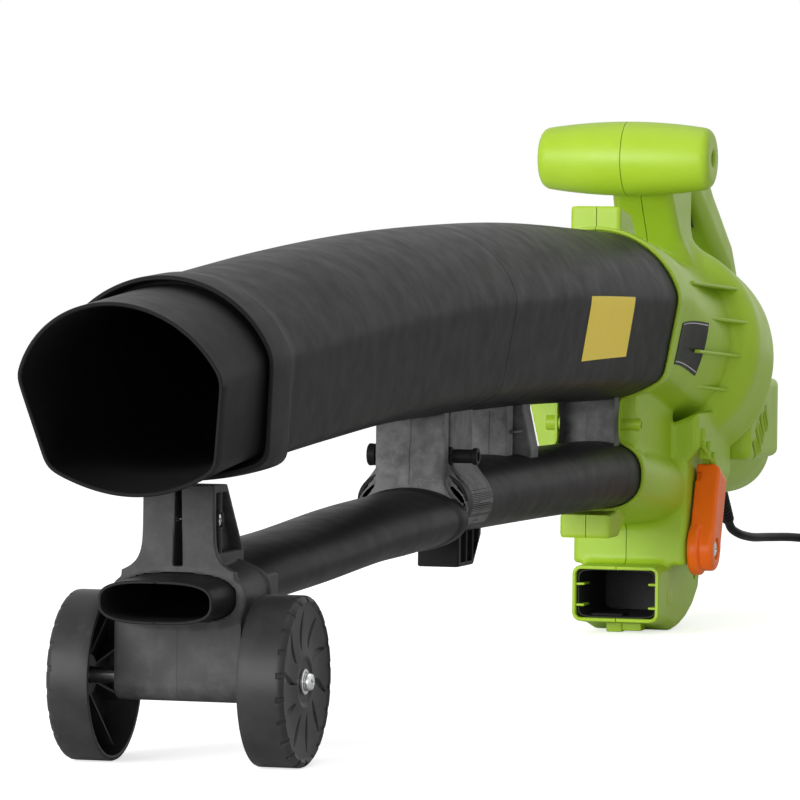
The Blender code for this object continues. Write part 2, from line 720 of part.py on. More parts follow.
def handle_volume(offset):
    outline = inset(HANDLE_OUTLINE, -offset) if offset else HANDLE_OUTLINE
    half = HANDLE_HALF + offset
    return prism(housing_outline(outline), -half, half, bevel=HANDLE_BEVEL + offset)


def box_volume(offset):
    low = (BOX_SIDES[0] - offset, at(BOX_LENGTH[0] - offset), BOX_HEIGHT[0] - offset)
    high = (BOX_SIDES[1] + offset, at(BOX_LENGTH[1] + offset), BOX_HEIGHT[1] + (4.0 * offset))
    return box(low, high)


def socket_volume(offset):
    start, end = (0.0, SOCKET_END) if offset >= 0.0 else (-0.001, SOCKET_END + 0.002)
    centre, half, height = between(BLOWER_STATIONS, 0.0)
    grow = SOCKET_WALL + GAP if offset >= 0.0 else GAP
    rings = [oval(y, centre, half + grow, height + grow) for y in (start, 0.032)]
    narrow = grow if offset >= 0.0 else grow - 0.002
    rings += [oval(y, centre, half + narrow, height + narrow) for y in (0.034, end)]
    return ring_loft(rings)


def outlet_volume(offset):
    outline = list(OUTLET_OUTLINE)
    if offset:
        outline = inset(outline, -offset)
        outline[0] = (OUTLET_OUTLINE[0][0] - 0.001, outline[0][1])
        outline[1] = (OUTLET_OUTLINE[1][0] - 0.001, outline[1][1])
    half = OUTLET_HALF + offset
    return prism(housing_outline(outline), -half, half)


def neck_volume(offset):
    low = (-NECK_HALF - offset, at(NECK_SETBACK - offset), NECK_HEIGHT[0] - offset)
    high = (NECK_HALF + offset, at(NECK_REAR + offset), NECK_HEIGHT[1] + offset)
    return box(low, high)


def gusset(height, drop, side):
    """One plate from the adaptor's flank to the drum's front face, lower at the rear."""
    reach = math.sqrt((DRUM_RADIUS - 0.006) ** 2 - (height - drop - FAN_CENTRE[1]) ** 2)
    front, rear = GUSSET_REACH
    inner = 0.030
    rings = []
    for lift in (-0.5 * GUSSET_THICKNESS, 0.5 * GUSSET_THICKNESS):
        corners = ((inner, front, 0.0), (0.052, front, 0.0), (reach, rear, drop), (inner, rear, drop))
        rings.append([(side * x, at(y), height - down + lift) for x, y, down in corners])
    return ring_loft(rings)


def make_housing():
    volumes = (drum_volume, adaptor_volume, hood_volume, column_volume, handle_volume, grip_volume,
               box_volume, socket_volume, outlet_volume, neck_volume)
    outer = [volume(0.0) for volume in volumes]
    outer += [gusset(height, drop, side) for height, drop in GUSSET_HEIGHTS for side in (-1.0, 1.0)]
    outer.append(prism(housing_outline(TOP_HOOK), -HOOK_HALF, HOOK_HALF))
    outer.append(prism(housing_outline(LOW_HOOK), -HOOK_HALF, HOOK_HALF))
    rim = suction_ring(0.0, LIP)
    outer.append(ring_loft([[(x, at(y), z) for x, _, z in rim] for y in LIP_SPAN]))
    outer.append(box((-TAB[2], at(TAB[0]), 0.0), (TAB[2], at(TAB[1]), TAB_TOP)))
    outer.append(rod_x(NECK_BOSS_RADIUS, *NECK_BOSS, at(NECK_SCREW[0]), NECK_SCREW[1]))
    shell = union(outer, SHELL_SOLVER)

    hollow = [volume(-SHELL_WALL) for volume in volumes]
    throat_half = OUTLET_HALF - SHELL_WALL
    front, rear, low, high = THROAT
    hollow.append(box((-throat_half, at(front), low), (throat_half, at(rear), high)))
    cavity = union(hollow, SHELL_SOLVER)
    posts = [rod_x(POST_RADIUS, -POST_REACH, POST_REACH, at(y), z) for name, y, z, _ in SCREW_POSTS
             if name != "neck"]
    cavity = cut(cavity, *posts, solver=SHELL_SOLVER)
    cutters = [cavity]
    for _, y, z, seat in SCREW_POSTS:
        cutters.append(rod_x(POST_SCREW_RADIUS + GAP, POST_TIP - seat, seat + 0.001, at(y), z))
        cutters.append(rod_x(POST_HEAD_RADIUS + GAP, seat, POST_REACH, at(y), z))
    cutters += [louvre(y, z, side) for y, z in LOUVRES for side in (-1.0, 1.0)]
    cutters.append(relief_cutter())
    cutters.append(trigger_slot())
    cutters.append(rod_x(FLAP_SHAFT_RADIUS + GAP, BOX_SIDES[0] - 0.001, BOX_SIDES[1] + 0.001,
                         at(LEVER_AXIS[0]), LEVER_AXIS[1], count=24))
    shell = cut(shell, *cutters, solver=SHELL_SOLVER)
    split(shell, "housing", "green_plastic")


def louvre(y, z, side):
    """A slanted slot through the hood's flank, leaning down to the rear."""
    lean = Matrix.Translation((0.0, at(y), z)) @ Matrix.Rotation(math.radians(LOUVRE_LEAN), 4, "X")
    low, high = sorted(side * reach for reach in LOUVRE_REACH)
    half_long, half_wide = 0.5 * LOUVRE_LENGTH, 0.5 * LOUVRE_WIDTH
    return box((low, -half_wide, -half_long), (high, half_wide, half_long), matrix=lean)


def relief_frame():
    """Local Z runs out along the strain relief."""
    start = Vector((0.0, at(RELIEF_START[0]), RELIEF_START[1]))
    run = Vector((0.0, at(RELIEF_TIP[0]), RELIEF_TIP[1])) - start
    turn = run.to_track_quat("Z", "Y").to_matrix().to_4x4()
    return Matrix.Translation(start) @ turn, run.length


def relief_cutter():
    frame, _ = relief_frame()
    return turned(((-0.016, RELIEF_BORE), (0.020, RELIEF_BORE)), matrix=frame, count=20)


def slope(u, v):
    """A point in the handle's underside frame as (distance, height)."""
    start, end = Vector(SLOPE_START), Vector(SLOPE_END)
    run = (end - start).normalized()
    up = Vector((-run.y, run.x))
    point = start + run * u + up * v
    return at(point.x), point.y


def slope_prism(outline, half, name="volume", bevel=0.0):
    return prism([slope(u, v) for u, v in outline], -half, half, name, bevel)


def trigger_slot():
    outline = ((0.0057, -0.020), (0.0057, 0.0045), (0.0562, 0.0045), (0.0562, -0.020))
    return slope_prism(outline, TRIGGER_HALF + GAP)


def make_trigger():
    pivot_y, pivot_z = slope(*TRIGGER_PIVOT)
    trigger = slope_prism(TRIGGER_OUTLINE, TRIGGER_HALF, bevel=0.0010)
    cut(trigger, rod_x(TRIGGER_PIN_RADIUS + GAP, -0.02, 0.02, pivot_y, pivot_z, count=16))
    trigger.data.transform(Matrix.Translation((0.0, -pivot_y, -pivot_z)))
    trigger.location = (0.0, pivot_y, pivot_z)
    dress(trigger, "black_plastic", "trigger")
    reach = HANDLE_HALF - SHELL_WALL - GAP
    dress(rod_x(TRIGGER_PIN_RADIUS, -reach, reach, pivot_y, pivot_z, count=16), "bare_steel", "trigger_pin")
    u_low, u_high, v_low, v_high = SWITCH_BOX
    corners = ((u_low, v_low), (u_high, v_low), (u_high, v_high), (u_low, v_high))
    switch = slope_prism(corners, SWITCH_HALF, bevel=0.0006)
    dress(switch, "inner_plastic", "switch_body")


def make_housing_screws():
    screws = []
    for name, y, z, seat in SCREW_POSTS:
        tip = POST_TIP - seat + 0.001
        made = screw(name, POST_SCREW_RADIUS, POST_HEAD_RADIUS, seat + GAP, tip, at(y), z)
        if name == "neck":
            dress(made, "zinc_steel", "neck_screw")
        else:
            screws.append(made)
    for number, made in enumerate(screws):
        dress(made, "zinc_steel", f"housing_screw_{number + 1}")


def make_bulkhead():
    """Plate behind the impeller, with the stator cup and the front bearing seat."""
    stator_seat = STATOR_RADIUS + GAP
    cup = stator_seat + CUP_WALL
    disc = DRUM_RADIUS - SHELL_WALL - 0.0072
    back = DRUM_BACK - SHELL_WALL - GAP
    front = back - 0.0030
    bearing_seat = BEARING_RADIUS + GAP
    profile = ((front, disc), (back, disc), (back, cup), (CUP_END, cup), (CUP_END, stator_seat),
               (STATOR_FRONT - GAP, stator_seat), (STATOR_FRONT - GAP, COOLING_FAN_RADIUS + 0.0020),
               (back, COOLING_FAN_RADIUS + 0.0020), (back, bearing_seat + CUP_WALL),
               (BEARING_BACK, bearing_seat + CUP_WALL), (BEARING_BACK, bearing_seat),
               (back, bearing_seat), (back, SHAFT_RADIUS + 0.0015), (front, SHAFT_RADIUS + 0.0015))
    bulkhead = turned(profile, matrix=fan_frame(), count=24, capped=False)
    vents = []
    for i in range(6):
        turn = Matrix.Rotation(math.radians(60.0 * i + 30.0), 4, "Z")
        vents.append(box((0.015, -0.006, back + 0.0040), (0.060, 0.006, back + 0.0140),
                         matrix=fan_frame() @ turn))
    dress(cut(bulkhead, *vents), "inner_plastic", "motor_bulkhead")


def make_motor_core():
    """Rotor, stator, bearings, bridge and brushes along the fan axis."""
    back = DRUM_BACK - SHELL_WALL - GAP
    fan_piece([(end, SHAFT_RADIUS) for end in SHAFT_ENDS], "motor_shaft", "bare_steel", 16)
    bore = SHAFT_RADIUS + GAP
    fan_piece(((back + GAP, BEARING_RADIUS), (BEARING_BACK - GAP, BEARING_RADIUS),
               (BEARING_BACK - GAP, bore), (back + GAP, bore)), "front_bearing", "bare_steel", 20, False)
    fan_piece(((STATOR_FRONT, STATOR_RADIUS), (CUP_END - 0.001, STATOR_RADIUS),
               (CUP_END - 0.001, STATOR_BORE), (STATOR_FRONT, STATOR_BORE)),
              "stator", "laminated_steel", 24, False)
    fan_piece(((STATOR_FRONT + 0.002, ARMATURE_RADIUS), (CUP_END - 0.003, ARMATURE_RADIUS),
               (CUP_END - 0.003, bore), (STATOR_FRONT + 0.002, bore)), "armature", "copper", 24, False)
    start, end = COMMUTATOR_ENDS
    fan_piece(((start, COMMUTATOR_RADIUS), (end, COMMUTATOR_RADIUS), (end, bore), (start, bore)),
              "commutator", "copper", 16, False)
    bearing_seat = BEARING_RADIUS + GAP
    cup = STATOR_RADIUS + GAP + CUP_WALL
    drum = STATOR_BORE + 0.0020
    floor = BRIDGE_REAR - 0.0025
    seat_front = floor - 0.0070
    profile = ((CUP_END + GAP, cup), (CUP_END + 0.0028, cup), (CUP_END + 0.0028, drum), (BRIDGE_REAR, drum),
               (BRIDGE_REAR, SHAFT_RADIUS + 0.0015), (floor, SHAFT_RADIUS + 0.0015), (floor, bearing_seat),
               (seat_front, bearing_seat), (seat_front, bearing_seat + CUP_WALL),
               (floor, bearing_seat + CUP_WALL), (floor, drum - CUP_WALL), (CUP_END + GAP, drum - CUP_WALL))
    bridge = turned(profile, matrix=fan_frame(), count=20, capped=False)
    wide, deep = (half + GAP + HOLDER_WALL for half in BRUSH_HALF)
    window = box((-cup, -wide - GAP, BRUSH_MIDDLE - deep - GAP), (cup, wide + GAP, BRUSH_MIDDLE + deep + GAP),
                 matrix=fan_frame())
    dress(cut(bridge, window), "inner_plastic", "motor_bridge")
    fan_piece(((seat_front + 0.0002, BEARING_RADIUS), (floor - GAP, BEARING_RADIUS), (floor - GAP, bore),
               (seat_front + 0.0002, bore)), "rear_bearing", "bare_steel", 20, False)
    for side, label in ((-1.0, "left"), (1.0, "right")):
        holder = brush_block(side, *HOLDER_ENDS, HOLDER_WALL + GAP)
        hole = brush_block(side, HOLDER_ENDS[0] - 0.001, HOLDER_ENDS[1] + 0.001, GAP)
        dress(cut(holder, hole), "brass", f"brush_holder_{label}")
        brush = brush_block(side, COMMUTATOR_RADIUS + 0.0004, BRUSH_END, 0.0)
        dress(brush, "carbon", f"carbon_brush_{label}")


def brush_block(side, inner, outer, grow):
    """A block round a brush, from the inner to the outer reach, grown by the given wall."""
    wide, deep = (half + grow for half in BRUSH_HALF)
    low, high = sorted((side * inner, side * outer))
    return box((low, -wide, BRUSH_MIDDLE - deep), (high, wide, BRUSH_MIDDLE + deep), matrix=fan_frame())


def vanes(facts, outer):
    """Curved vanes round the fan axis, reaching the outer radius."""
    return [vane(number, facts, outer) for number in range(facts[0])]


def vane(number, facts, outer):
    """One vane whose middle line turns by the sweep between its two radii."""
    count, inner, low, high, sweep, thickness = facts
    start = 2.0 * math.pi * number / count
    middle = []
    for i in range(BLADE_STEPS + 1):
        share = i / BLADE_STEPS
        radius = inner + (outer - inner) * share
        angle = start + sweep * share ** 1.5
        middle.append(Vector((radius * math.cos(angle), radius * math.sin(angle))))
    left, right = [], []
    for i, point in enumerate(middle):
        run = (middle[min(i + 1, BLADE_STEPS)] - middle[max(i - 1, 0)]).normalized()
        normal = Vector((-run.y, run.x)) * (0.5 * thickness)
        left.append(point + normal)
        right.append(point - normal)
    outline = left + right[::-1]
    return ring_loft([[(p.x, p.y, s) for p in outline] for s in (low, high)], matrix=fan_frame())


def make_impeller():
    bore = SHAFT_RADIUS + GAP
    front, rear, hub = IMPELLER_HUB
    plate_front, plate_rear = IMPELLER_PLATE
    profile = ((front, hub + 0.0010), (plate_front, hub + 0.0030), (plate_front, IMPELLER_RADIUS),
               (plate_rear, IMPELLER_RADIUS), (plate_rear, hub), (rear, hub), (rear, bore), (front, bore))
    plate = turned(profile, matrix=fan_frame(), count=24, capped=False)
    blades = vanes(IMPELLER_VANES, IMPELLER_RADIUS - 0.001)
    dress(union([plate] + blades), "inner_plastic", "impeller")
    low, high, radius = IMPELLER_NUT
    nut = turned(((low, radius), (high, radius)), matrix=fan_frame(), count=6)
    thread = turned(((low - 0.001, bore), (high + 0.001, bore)), matrix=fan_frame(), count=16)
    dress(cut(nut, thread), "zinc_steel", "impeller_nut")
    low, high, radius = COOLING_HUB
    profile = ((low, radius), (high, radius), (high, bore), (low, bore))
    hub = turned(profile, matrix=fan_frame(), count=24, capped=False)
    cooling = vanes(COOLING_VANES, COOLING_FAN_RADIUS)
    dress(union([hub] + cooling), "inner_plastic", "cooling_fan")


def make_lever():
    y, z = at(LEVER_AXIS[0]), LEVER_AXIS[1]
    hub_x, hub_radius = LEVER_HUB
    boss_x, boss_radius = LEVER_BOSS
    start = BOX_SIDES[1] + GAP
    hub = turned(((start, hub_radius), (hub_x, hub_radius), (hub_x + 0.001, boss_radius),
                  (boss_x, boss_radius)), matrix=along_x(0.0, 0.0), count=32)
    lean = math.radians(LEVER_LEAN)
    up = Vector((math.sin(lean), math.cos(lean)))
    across = Vector((up.y, -up.x))
    low, high = LEVER_LENGTH - LEVER_CHAMFER, LEVER_HALF - LEVER_CHAMFER
    corners = ((0.0, -LEVER_HALF), (low, -LEVER_HALF), (LEVER_LENGTH, -high), (LEVER_LENGTH, high),
               (low, LEVER_HALF), (0.0, LEVER_HALF))
    outline = [tuple(up * u + across * v) for u, v in corners]
    arm = prism(outline, LEVER_ARM_X, boss_x, bevel=0.0020)
    lever = union([hub, arm])
    cut(lever, rod_x(FLAP_SHAFT_RADIUS + GAP, start - 0.001, boss_x + 0.001, 0.0, 0.0))
    lever.data.transform(lever.matrix_world)
    lever.matrix_world = Matrix.Translation((0.0, y, z))
    dress(lever, "orange_plastic", "mode_lever")
    pilot, head, depth = LEVER_SCREW
    shaft = rod_x(FLAP_SHAFT_RADIUS, BOX_SIDES[0] + 0.0005, boss_x, y, z, count=24)
    cut(shaft, rod_x(pilot, boss_x - depth - 0.002, boss_x + 0.001, y, z, count=16))
    dress(shaft, "bare_steel", "flap_shaft")
    screw("lever_screw", pilot - GAP, head, boss_x + GAP, boss_x - depth, y, z)


def make_flap():
    """The diverter flap with its collar, leaning on the shaft at its rest angle."""
    y, z = at(LEVER_AXIS[0]), LEVER_AXIS[1]
    low = BOX_SIDES[0] + SHELL_WALL + FLAP_SIDE_GAP
    high = BOX_SIDES[1] - SHELL_WALL - FLAP_SIDE_GAP
    collar = rod_x(FLAP_COLLAR_RADIUS, low, high, y, z, count=24)
    rest = math.radians(FLAP_REST)
    along = Vector((math.cos(rest), math.sin(rest)))
    square = Vector((-along.y, along.x))
    half = 0.5 * FLAP_THICKNESS
    corners = []
    for u, v in ((0.0, -half), (FLAP_LENGTH, -half), (FLAP_LENGTH, half), (0.0, half)):
        point = along * u + square * v
        corners.append((y + point.x, z + point.y))
    flap = union([collar, prism(corners, low, high)])
    bore = rod_x(FLAP_SHAFT_RADIUS + GAP, low - 0.01, high + 0.01, y, z, count=24)
    dress(cut(flap, bore), "inner_plastic", "diverter_flap")


def make_wheels():
    y, z = at(AXLE[0]), AXLE[1]
    bore = AXLE_RADIUS + GAP
    tread = WHEEL_RADIUS
    land, boss, rim = WHEEL_LAND_RADIUS, WHEEL_BOSS_RADIUS, WHEEL_RIM
    profile = ((WHEEL_INNER, bore), (WHEEL_OUTER - 0.0010, bore), (WHEEL_OUTER - 0.0010, land),
               (WHEEL_OUTER - 0.0035, land + 0.0010), (WHEEL_OUTER - 0.0030, tread - rim - 0.0040),
               (WHEEL_OUTER, tread - rim), (WHEEL_OUTER, tread - 0.0020), (WHEEL_OUTER - 0.0015, tread),
               (WHEEL_INNER + 0.0015, tread), (WHEEL_INNER, tread - 0.0015), (WHEEL_INNER, tread - 0.0040),
               (WHEEL_OUTER - 0.0075, tread - rim), (WHEEL_OUTER - 0.0060, boss + 0.0020),
               (WHEEL_OUTER - 0.0075, boss), (WHEEL_INNER, boss))
    rib_low = (boss - 0.0010, -WHEEL_RIB_HALF, WHEEL_INNER + 0.0045)
    rib_high = (tread - 0.0030, WHEEL_RIB_HALF, WHEEL_OUTER - 0.0062)
    screw_radius, screw_head, screw_depth = AXLE_SCREW
    for side, label in ((-1.0, "left"), (1.0, "right")):
        place = Matrix.Translation((0.0, y, z))
        local = Matrix.Rotation(math.radians(90.0 * side), 4, "Y")
        wheel = turned(profile, matrix=local, count=30, capped=False)
        ribs = []
        for i in range(WHEEL_RIBS):
            turn = local @ Matrix.Rotation(2.0 * math.pi * (i + 0.5) / WHEEL_RIBS, 4, "Z")
            ribs.append(box(rib_low, rib_high, matrix=turn))
        wheel = union([wheel] + ribs)
        wheel.data.transform(local)
        wheel.matrix_world = place
        dress(wheel, "black_plastic", f"wheel_{label}")
        inner = AXLE_HALF + GAP
        washer_top = inner + WASHER_THICKNESS
        washer = sleeve(WASHER_RADIUS, WASHER_HOLE, inner, washer_top, matrix=place @ local, count=20)
        dress(washer, "zinc_steel", f"washer_{label}")
        screw(f"axle_screw_{label}", screw_radius, screw_head, side * (washer_top + GAP),
              side * (AXLE_HALF - screw_depth), y, z)
    axle = rod_x(AXLE_RADIUS, -AXLE_HALF, AXLE_HALF, y, z, count=20)
    bore_radius, bore_depth = AXLE_BORE
    bores = [rod_x(bore_radius, side * (AXLE_HALF - bore_depth), side * (AXLE_HALF + 0.001), y, z, count=16)
             for side in (-1.0, 1.0)]
    dress(cut(axle, *bores), "bare_steel", "wheel_axle")


def riser_pocket(side, front, top):
    """The recess in one flank of the riser, which leaves a screw boss and an upright rib."""
    high = top - POCKET_EDGE
    outline = ((front + POCKET_EDGE, POCKET_BOTTOM), (front + POCKET_EDGE, high),
               (front + RISER_TOP_DEPTH - 0.003, high), (front + RISER_DEPTH - 0.007, POCKET_BOTTOM))
    reach = RISER_HALF + 0.0015
    pocket = prism(outline, side * POCKET_FLOOR, side * reach)
    boss = rod_x(POCKET_BOSS_RADIUS, -reach, reach, at(CARRIER_SCREWS[0][0]), CARRIER_SCREWS[0][1])
    rib_front, rib_rear = POCKET_RIB
    rib = box((-reach, front + rib_front, POCKET_BOTTOM - 0.006), (reach, front + rib_rear, top))
    return cut(pocket, boss, rib)


def make_carrier():
    front, back = at(CARRIER_FRONT), at(CARRIER_BACK)
    tube_z = between(BLOWER_STATIONS, CARRIER_FRONT)[0]
    radius = CARRIER_CORNER
    outline = [(front, tube_z), (back, tube_z)]
    for middle, start in ((back - radius, 0.0), (front + radius, 90.0)):
        for i in range(4):
            angle = math.radians(start + 30.0 * i)
            height = CARRIER_BOTTOM + radius - radius * math.sin(angle)
            outline.append((middle + radius * math.cos(angle), height))
    base = prism(outline, -CARRIER_HALF, CARRIER_HALF)
    stations = stations_between(BLOWER_STATIONS, COLLAR_END, CARRIER_FRONT)
    collar = ring_loft([blower_ring(y, COLLAR_WALL) for y in stations])
    top = COLLAR_STATIONS[0][2] - GAP
    rise = ((front, tube_z), (front, top), (front + RISER_TOP_DEPTH, top), (front + RISER_DEPTH, RISER_WAIST),
            (front + RISER_DEPTH, tube_z))
    riser = prism(rise, -RISER_HALF, RISER_HALF)
    solid = union([base, collar, riser])
    slot_depth, slot_floor = RISER_SLOT
    tools = [blower_volume(COLLAR_END + 0.010, CARRIER_FRONT - 0.010, COLLAR_GAP)]
    reach = CARRIER_HALF + 0.01
    tools.append(rod_x(AXLE_RADIUS + GAP, -reach, reach, at(AXLE[0]), AXLE[1], count=20))
    tools.append(box((-RISER_SLOT_HALF, front - 0.001, slot_floor),
                     (RISER_SLOT_HALF, front + slot_depth, top + 0.001)))
    tools += [riser_pocket(side, front, top) for side in (-1.0, 1.0)]
    screws = []
    for number, (y, z, seat) in enumerate(CARRIER_SCREWS):
        head = seat - SCREW_HEAD_HEIGHT - 0.001
        tools.append(rod_x(CARRIER_SCREW_RADIUS + GAP, 0.004 - seat, head + 0.001, at(y), z, count=16))
        tools.append(rod_x(CARRIER_SCREW_HEAD + GAP, head, seat + 0.01, at(y), z, count=20))
        screws.append((f"carrier_screw_{number + 1}", head + GAP, 0.006 - seat, y, z))
    split(cut(solid, *tools), "carrier", "black_plastic")
    for name, head, tip, y, z in screws:
        screw(name, CARRIER_SCREW_RADIUS, CARRIER_SCREW_HEAD, head, tip, at(y), z)


def smooth_route(points, count):
    """Evenly placed points on a Catmull-Rom curve through the chosen points."""
    padded = [points[0] * 2.0 - points[1]] + points + [points[-1] * 2.0 - points[-2]]
    dense = []
    for i in range(1, len(padded) - 2):
        a, b, c, d = padded[i - 1:i + 3]
        for step in range(24):
            t = step / 24.0
            dense.append(0.5 * (2.0 * b + (c - a) * t + (2.0 * a - 5.0 * b + 4.0 * c - d) * t * t
                                + (3.0 * b - a - 3.0 * c + d) * t ** 3))
    dense.append(points[-1])
    lengths = [0.0]
    for first, second in zip(dense, dense[1:]):
        lengths.append(lengths[-1] + (second - first).length)
    route = []
    for i in range(count):
        wanted = lengths[-1] * i / (count - 1)
        k = min(j for j, length in enumerate(lengths) if length >= wanted - 1e-9)
        k = max(k, 1)
        share = (wanted - lengths[k - 1]) / (lengths[k] - lengths[k - 1])
        route.append(dense[k - 1].lerp(dense[k], share))
    return route, lengths[-1]


def make_cord():
    frame, length = relief_frame()
    relief = turned((*RELIEF_PROFILE, (length, RELIEF_TIP_RADIUS)), matrix=frame, count=20)
    dress(relief, "black_rubber", "strain_relief")
    out = frame.to_3x3() @ Vector((0.0, 0.0, 1.0))
    tip = frame @ Vector((0.0, 0.0, length)) + out * GAP
    chosen = [tip, tip + out * CORD_LEAD_OUT] + [Vector((x, at(y), z)) for x, y, z in CORD_ROUTE]
    route, run = smooth_route(chosen, CORD_POINTS)
    print(f"cord free stretch {run:.4f} m")
    curve = bpy.data.curves.new("mains_cord", "CURVE")
    curve.dimensions = "3D"
    curve.bevel_depth = CORD_RADIUS
    curve.bevel_resolution = 2
    curve.use_fill_caps = True
    spline = curve.splines.new("POLY")
    spline.points.add(len(route) - 1)
    for point, place in zip(spline.points, route):
        point.co = (*place, 1.0)
    curve.materials.append(material("black_rubber"))
    new_object("mains_cord", curve)
    heading = (route[-1] - route[-2]).normalized()
    turn = heading.to_track_quat("Z", "Y").to_matrix().to_4x4()
    plug_frame = Matrix.Translation(route[-1] + heading * GAP) @ turn
    face = ((PLUG_LENGTH - 0.0010, PLUG_RADIUS), (PLUG_LENGTH, PLUG_RADIUS - 0.0010))
    plug = turned(PLUG_PROFILE + face, matrix=plug_frame, count=24)
    root = PLUG_LENGTH - PIN_DEPTH
    point = PLUG_LENGTH + PIN_LENGTH
    sockets = []
    for side, label in ((-1.0, "left"), (1.0, "right")):
        place = plug_frame @ Matrix.Translation((0.5 * side * PIN_SPACING, 0.0, 0.0))
        hole = ((root, PIN_RADIUS + GAP), (PLUG_LENGTH + 0.001, PIN_RADIUS + GAP))
        sockets.append(turned(hole, matrix=place, count=16))
        pin = turned(((root + GAP, PIN_RADIUS), (point - 0.001, PIN_RADIUS), (point, 0.6 * PIN_RADIUS)),
                     matrix=place, count=16)
        dress(pin, "brass", f"plug_pin_{label}")
    dress(cut(plug, *sockets), "black_rubber", "plug_body")


def main():
    clear_scene()
    make_suction_upper()
    make_suction_lower()
    make_blower_upper()
    make_blower_lower()
    make_joint_bolt()
    make_housing()
    make_housing_screws()
    make_trigger()
    make_lever()
    make_flap()
    make_bulkhead()
    make_motor_core()
    make_impeller()
    make_wheels()
    make_carrier()
    make_cord()


main()
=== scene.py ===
"""Looks of a leaf blower vacuum on two wheels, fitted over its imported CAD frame.

Lengths are metres in the frame's axes: +X is the mode lever's side, +Y the rear and z = 0 the floor.
Distances along the machine are read from the flange where the suction tube meets the housing.
"""

import math

import bmesh
import bpy
import numpy as np
from mathutils import Matrix, Vector

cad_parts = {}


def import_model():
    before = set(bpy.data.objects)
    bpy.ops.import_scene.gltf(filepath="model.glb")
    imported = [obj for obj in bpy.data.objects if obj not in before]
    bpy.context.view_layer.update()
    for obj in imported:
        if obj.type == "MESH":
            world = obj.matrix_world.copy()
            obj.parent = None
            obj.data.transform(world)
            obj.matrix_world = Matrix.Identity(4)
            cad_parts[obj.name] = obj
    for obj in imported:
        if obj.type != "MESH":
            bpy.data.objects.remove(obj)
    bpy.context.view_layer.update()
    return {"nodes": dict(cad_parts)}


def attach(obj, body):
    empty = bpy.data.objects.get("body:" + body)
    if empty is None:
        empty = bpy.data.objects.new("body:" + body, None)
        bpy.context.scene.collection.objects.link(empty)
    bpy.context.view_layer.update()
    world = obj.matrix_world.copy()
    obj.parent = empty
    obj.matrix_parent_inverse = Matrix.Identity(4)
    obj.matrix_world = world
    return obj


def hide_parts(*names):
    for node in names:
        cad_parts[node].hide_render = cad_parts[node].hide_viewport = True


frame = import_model()

FLANGE_Y = 0.290
MACHINE = "machine"

# Suction tube: distance behind the flange, top, bottom, half width, floor's share of the width
SUCTION_STATIONS = np.array((
    (0.000, 0.2705, 0.1590, 0.0558, 0.825),
    (-0.250, 0.2736, 0.1612, 0.0550, 0.830),
    (-0.415, 0.2702, 0.1602, 0.0550, 0.835),
    (-0.560, 0.2643, 0.1580, 0.0550, 0.850),
    (-0.700, 0.2551, 0.1515, 0.0550, 0.870),
    (-0.838, 0.2432, 0.1440, 0.0550, 0.885),
    (-0.853, 0.2419, 0.1432, 0.0550, 0.885),
))
TUBE_WALL = 0.0020
SHELL_WALL = 0.0026
SUCTION_JOINT = -0.415
MOUTH_SHEAR = 0.413
# Shield section: rise of its round top, reach of its flanks and sag of its floor as shares of the height,
# what the reach gains with the floor's share of the width beyond the usual one, and corner softening passes
TOP_RISE, FLANK_REACH, FLOOR_SAG = 0.39, 0.86, 0.14
REACH_GAIN, USUAL_LOW = 0.29, 0.825
SOFTENING_PASSES = 8

# Blower tube: distance behind the flange, centre height, half width, half height, squareness
BLOWER_REAR = np.array((
    (0.030, 0.1103, 0.0322, 0.0222, 2.50),
    (-0.200, 0.1116, 0.0330, 0.0216, 2.30),
    (-0.420, 0.1112, 0.0330, 0.0204, 2.20),
))
BLOWER_FRONT = np.array((
    (-0.437, 0.1019, 0.0325, 0.0171, 2.00),
    (-0.500, 0.1002, 0.0325, 0.0173, 2.00),
    (-0.560, 0.0987, 0.0322, 0.0168, 2.00),
    (-0.670, 0.0930, 0.0315, 0.0163, 2.00),
    (-0.767, 0.0890, 0.0310, 0.0158, 2.05),
    (-0.840, 0.0840, 0.0305, 0.0136, 2.35),
    (-0.862, 0.0830, 0.0300, 0.0120, 2.70),
    (-0.897, 0.0825, 0.0293, 0.0107, 3.00),
))
BLOWER_JOINT = -0.437

# Adaptor between flange and drum: its middle's height and fall, and its radius at the drum
ADAPTOR_MIDDLE, ADAPTOR_FALL, ADAPTOR_END = 0.2151, 0.0201, 0.0595

# Fan axis and drum, then the hood: distance behind the flange, centre height, half width, half height
FAN_CENTRE = (0.195, 0.186)
FAN_TILT = math.radians(12.0)
DRUM_RADIUS = 0.0757
DRUM_FRONT, DRUM_REAR = -0.042, 0.027
HOOD_STATIONS = np.array((
    (0.204, 0.1830, 0.0660, 0.0660),
    (0.222, 0.1800, 0.0660, 0.0660),
    (0.260, 0.1680, 0.0620, 0.0620),
    (0.300, 0.1520, 0.0570, 0.0580),
    (0.335, 0.1380, 0.0500, 0.0520),
    (0.365, 0.1280, 0.0420, 0.0430),
    (0.382, 0.1220, 0.0260, 0.0270),
    (0.388, 0.1200, 0.0120, 0.0120),
))
# Flat panel on the hood's side by distance, and the louvres' middles
PANEL_SIDE = ((0.215, 0.250, 0.310, 0.335), (0.0600, 0.0605, 0.0590, 0.0550))
LOUVRES = ((0.268, 0.142), (0.2535, 0.136), (0.2420, 0.127), (0.2320, 0.118))
SLANT = math.sqrt(0.5)
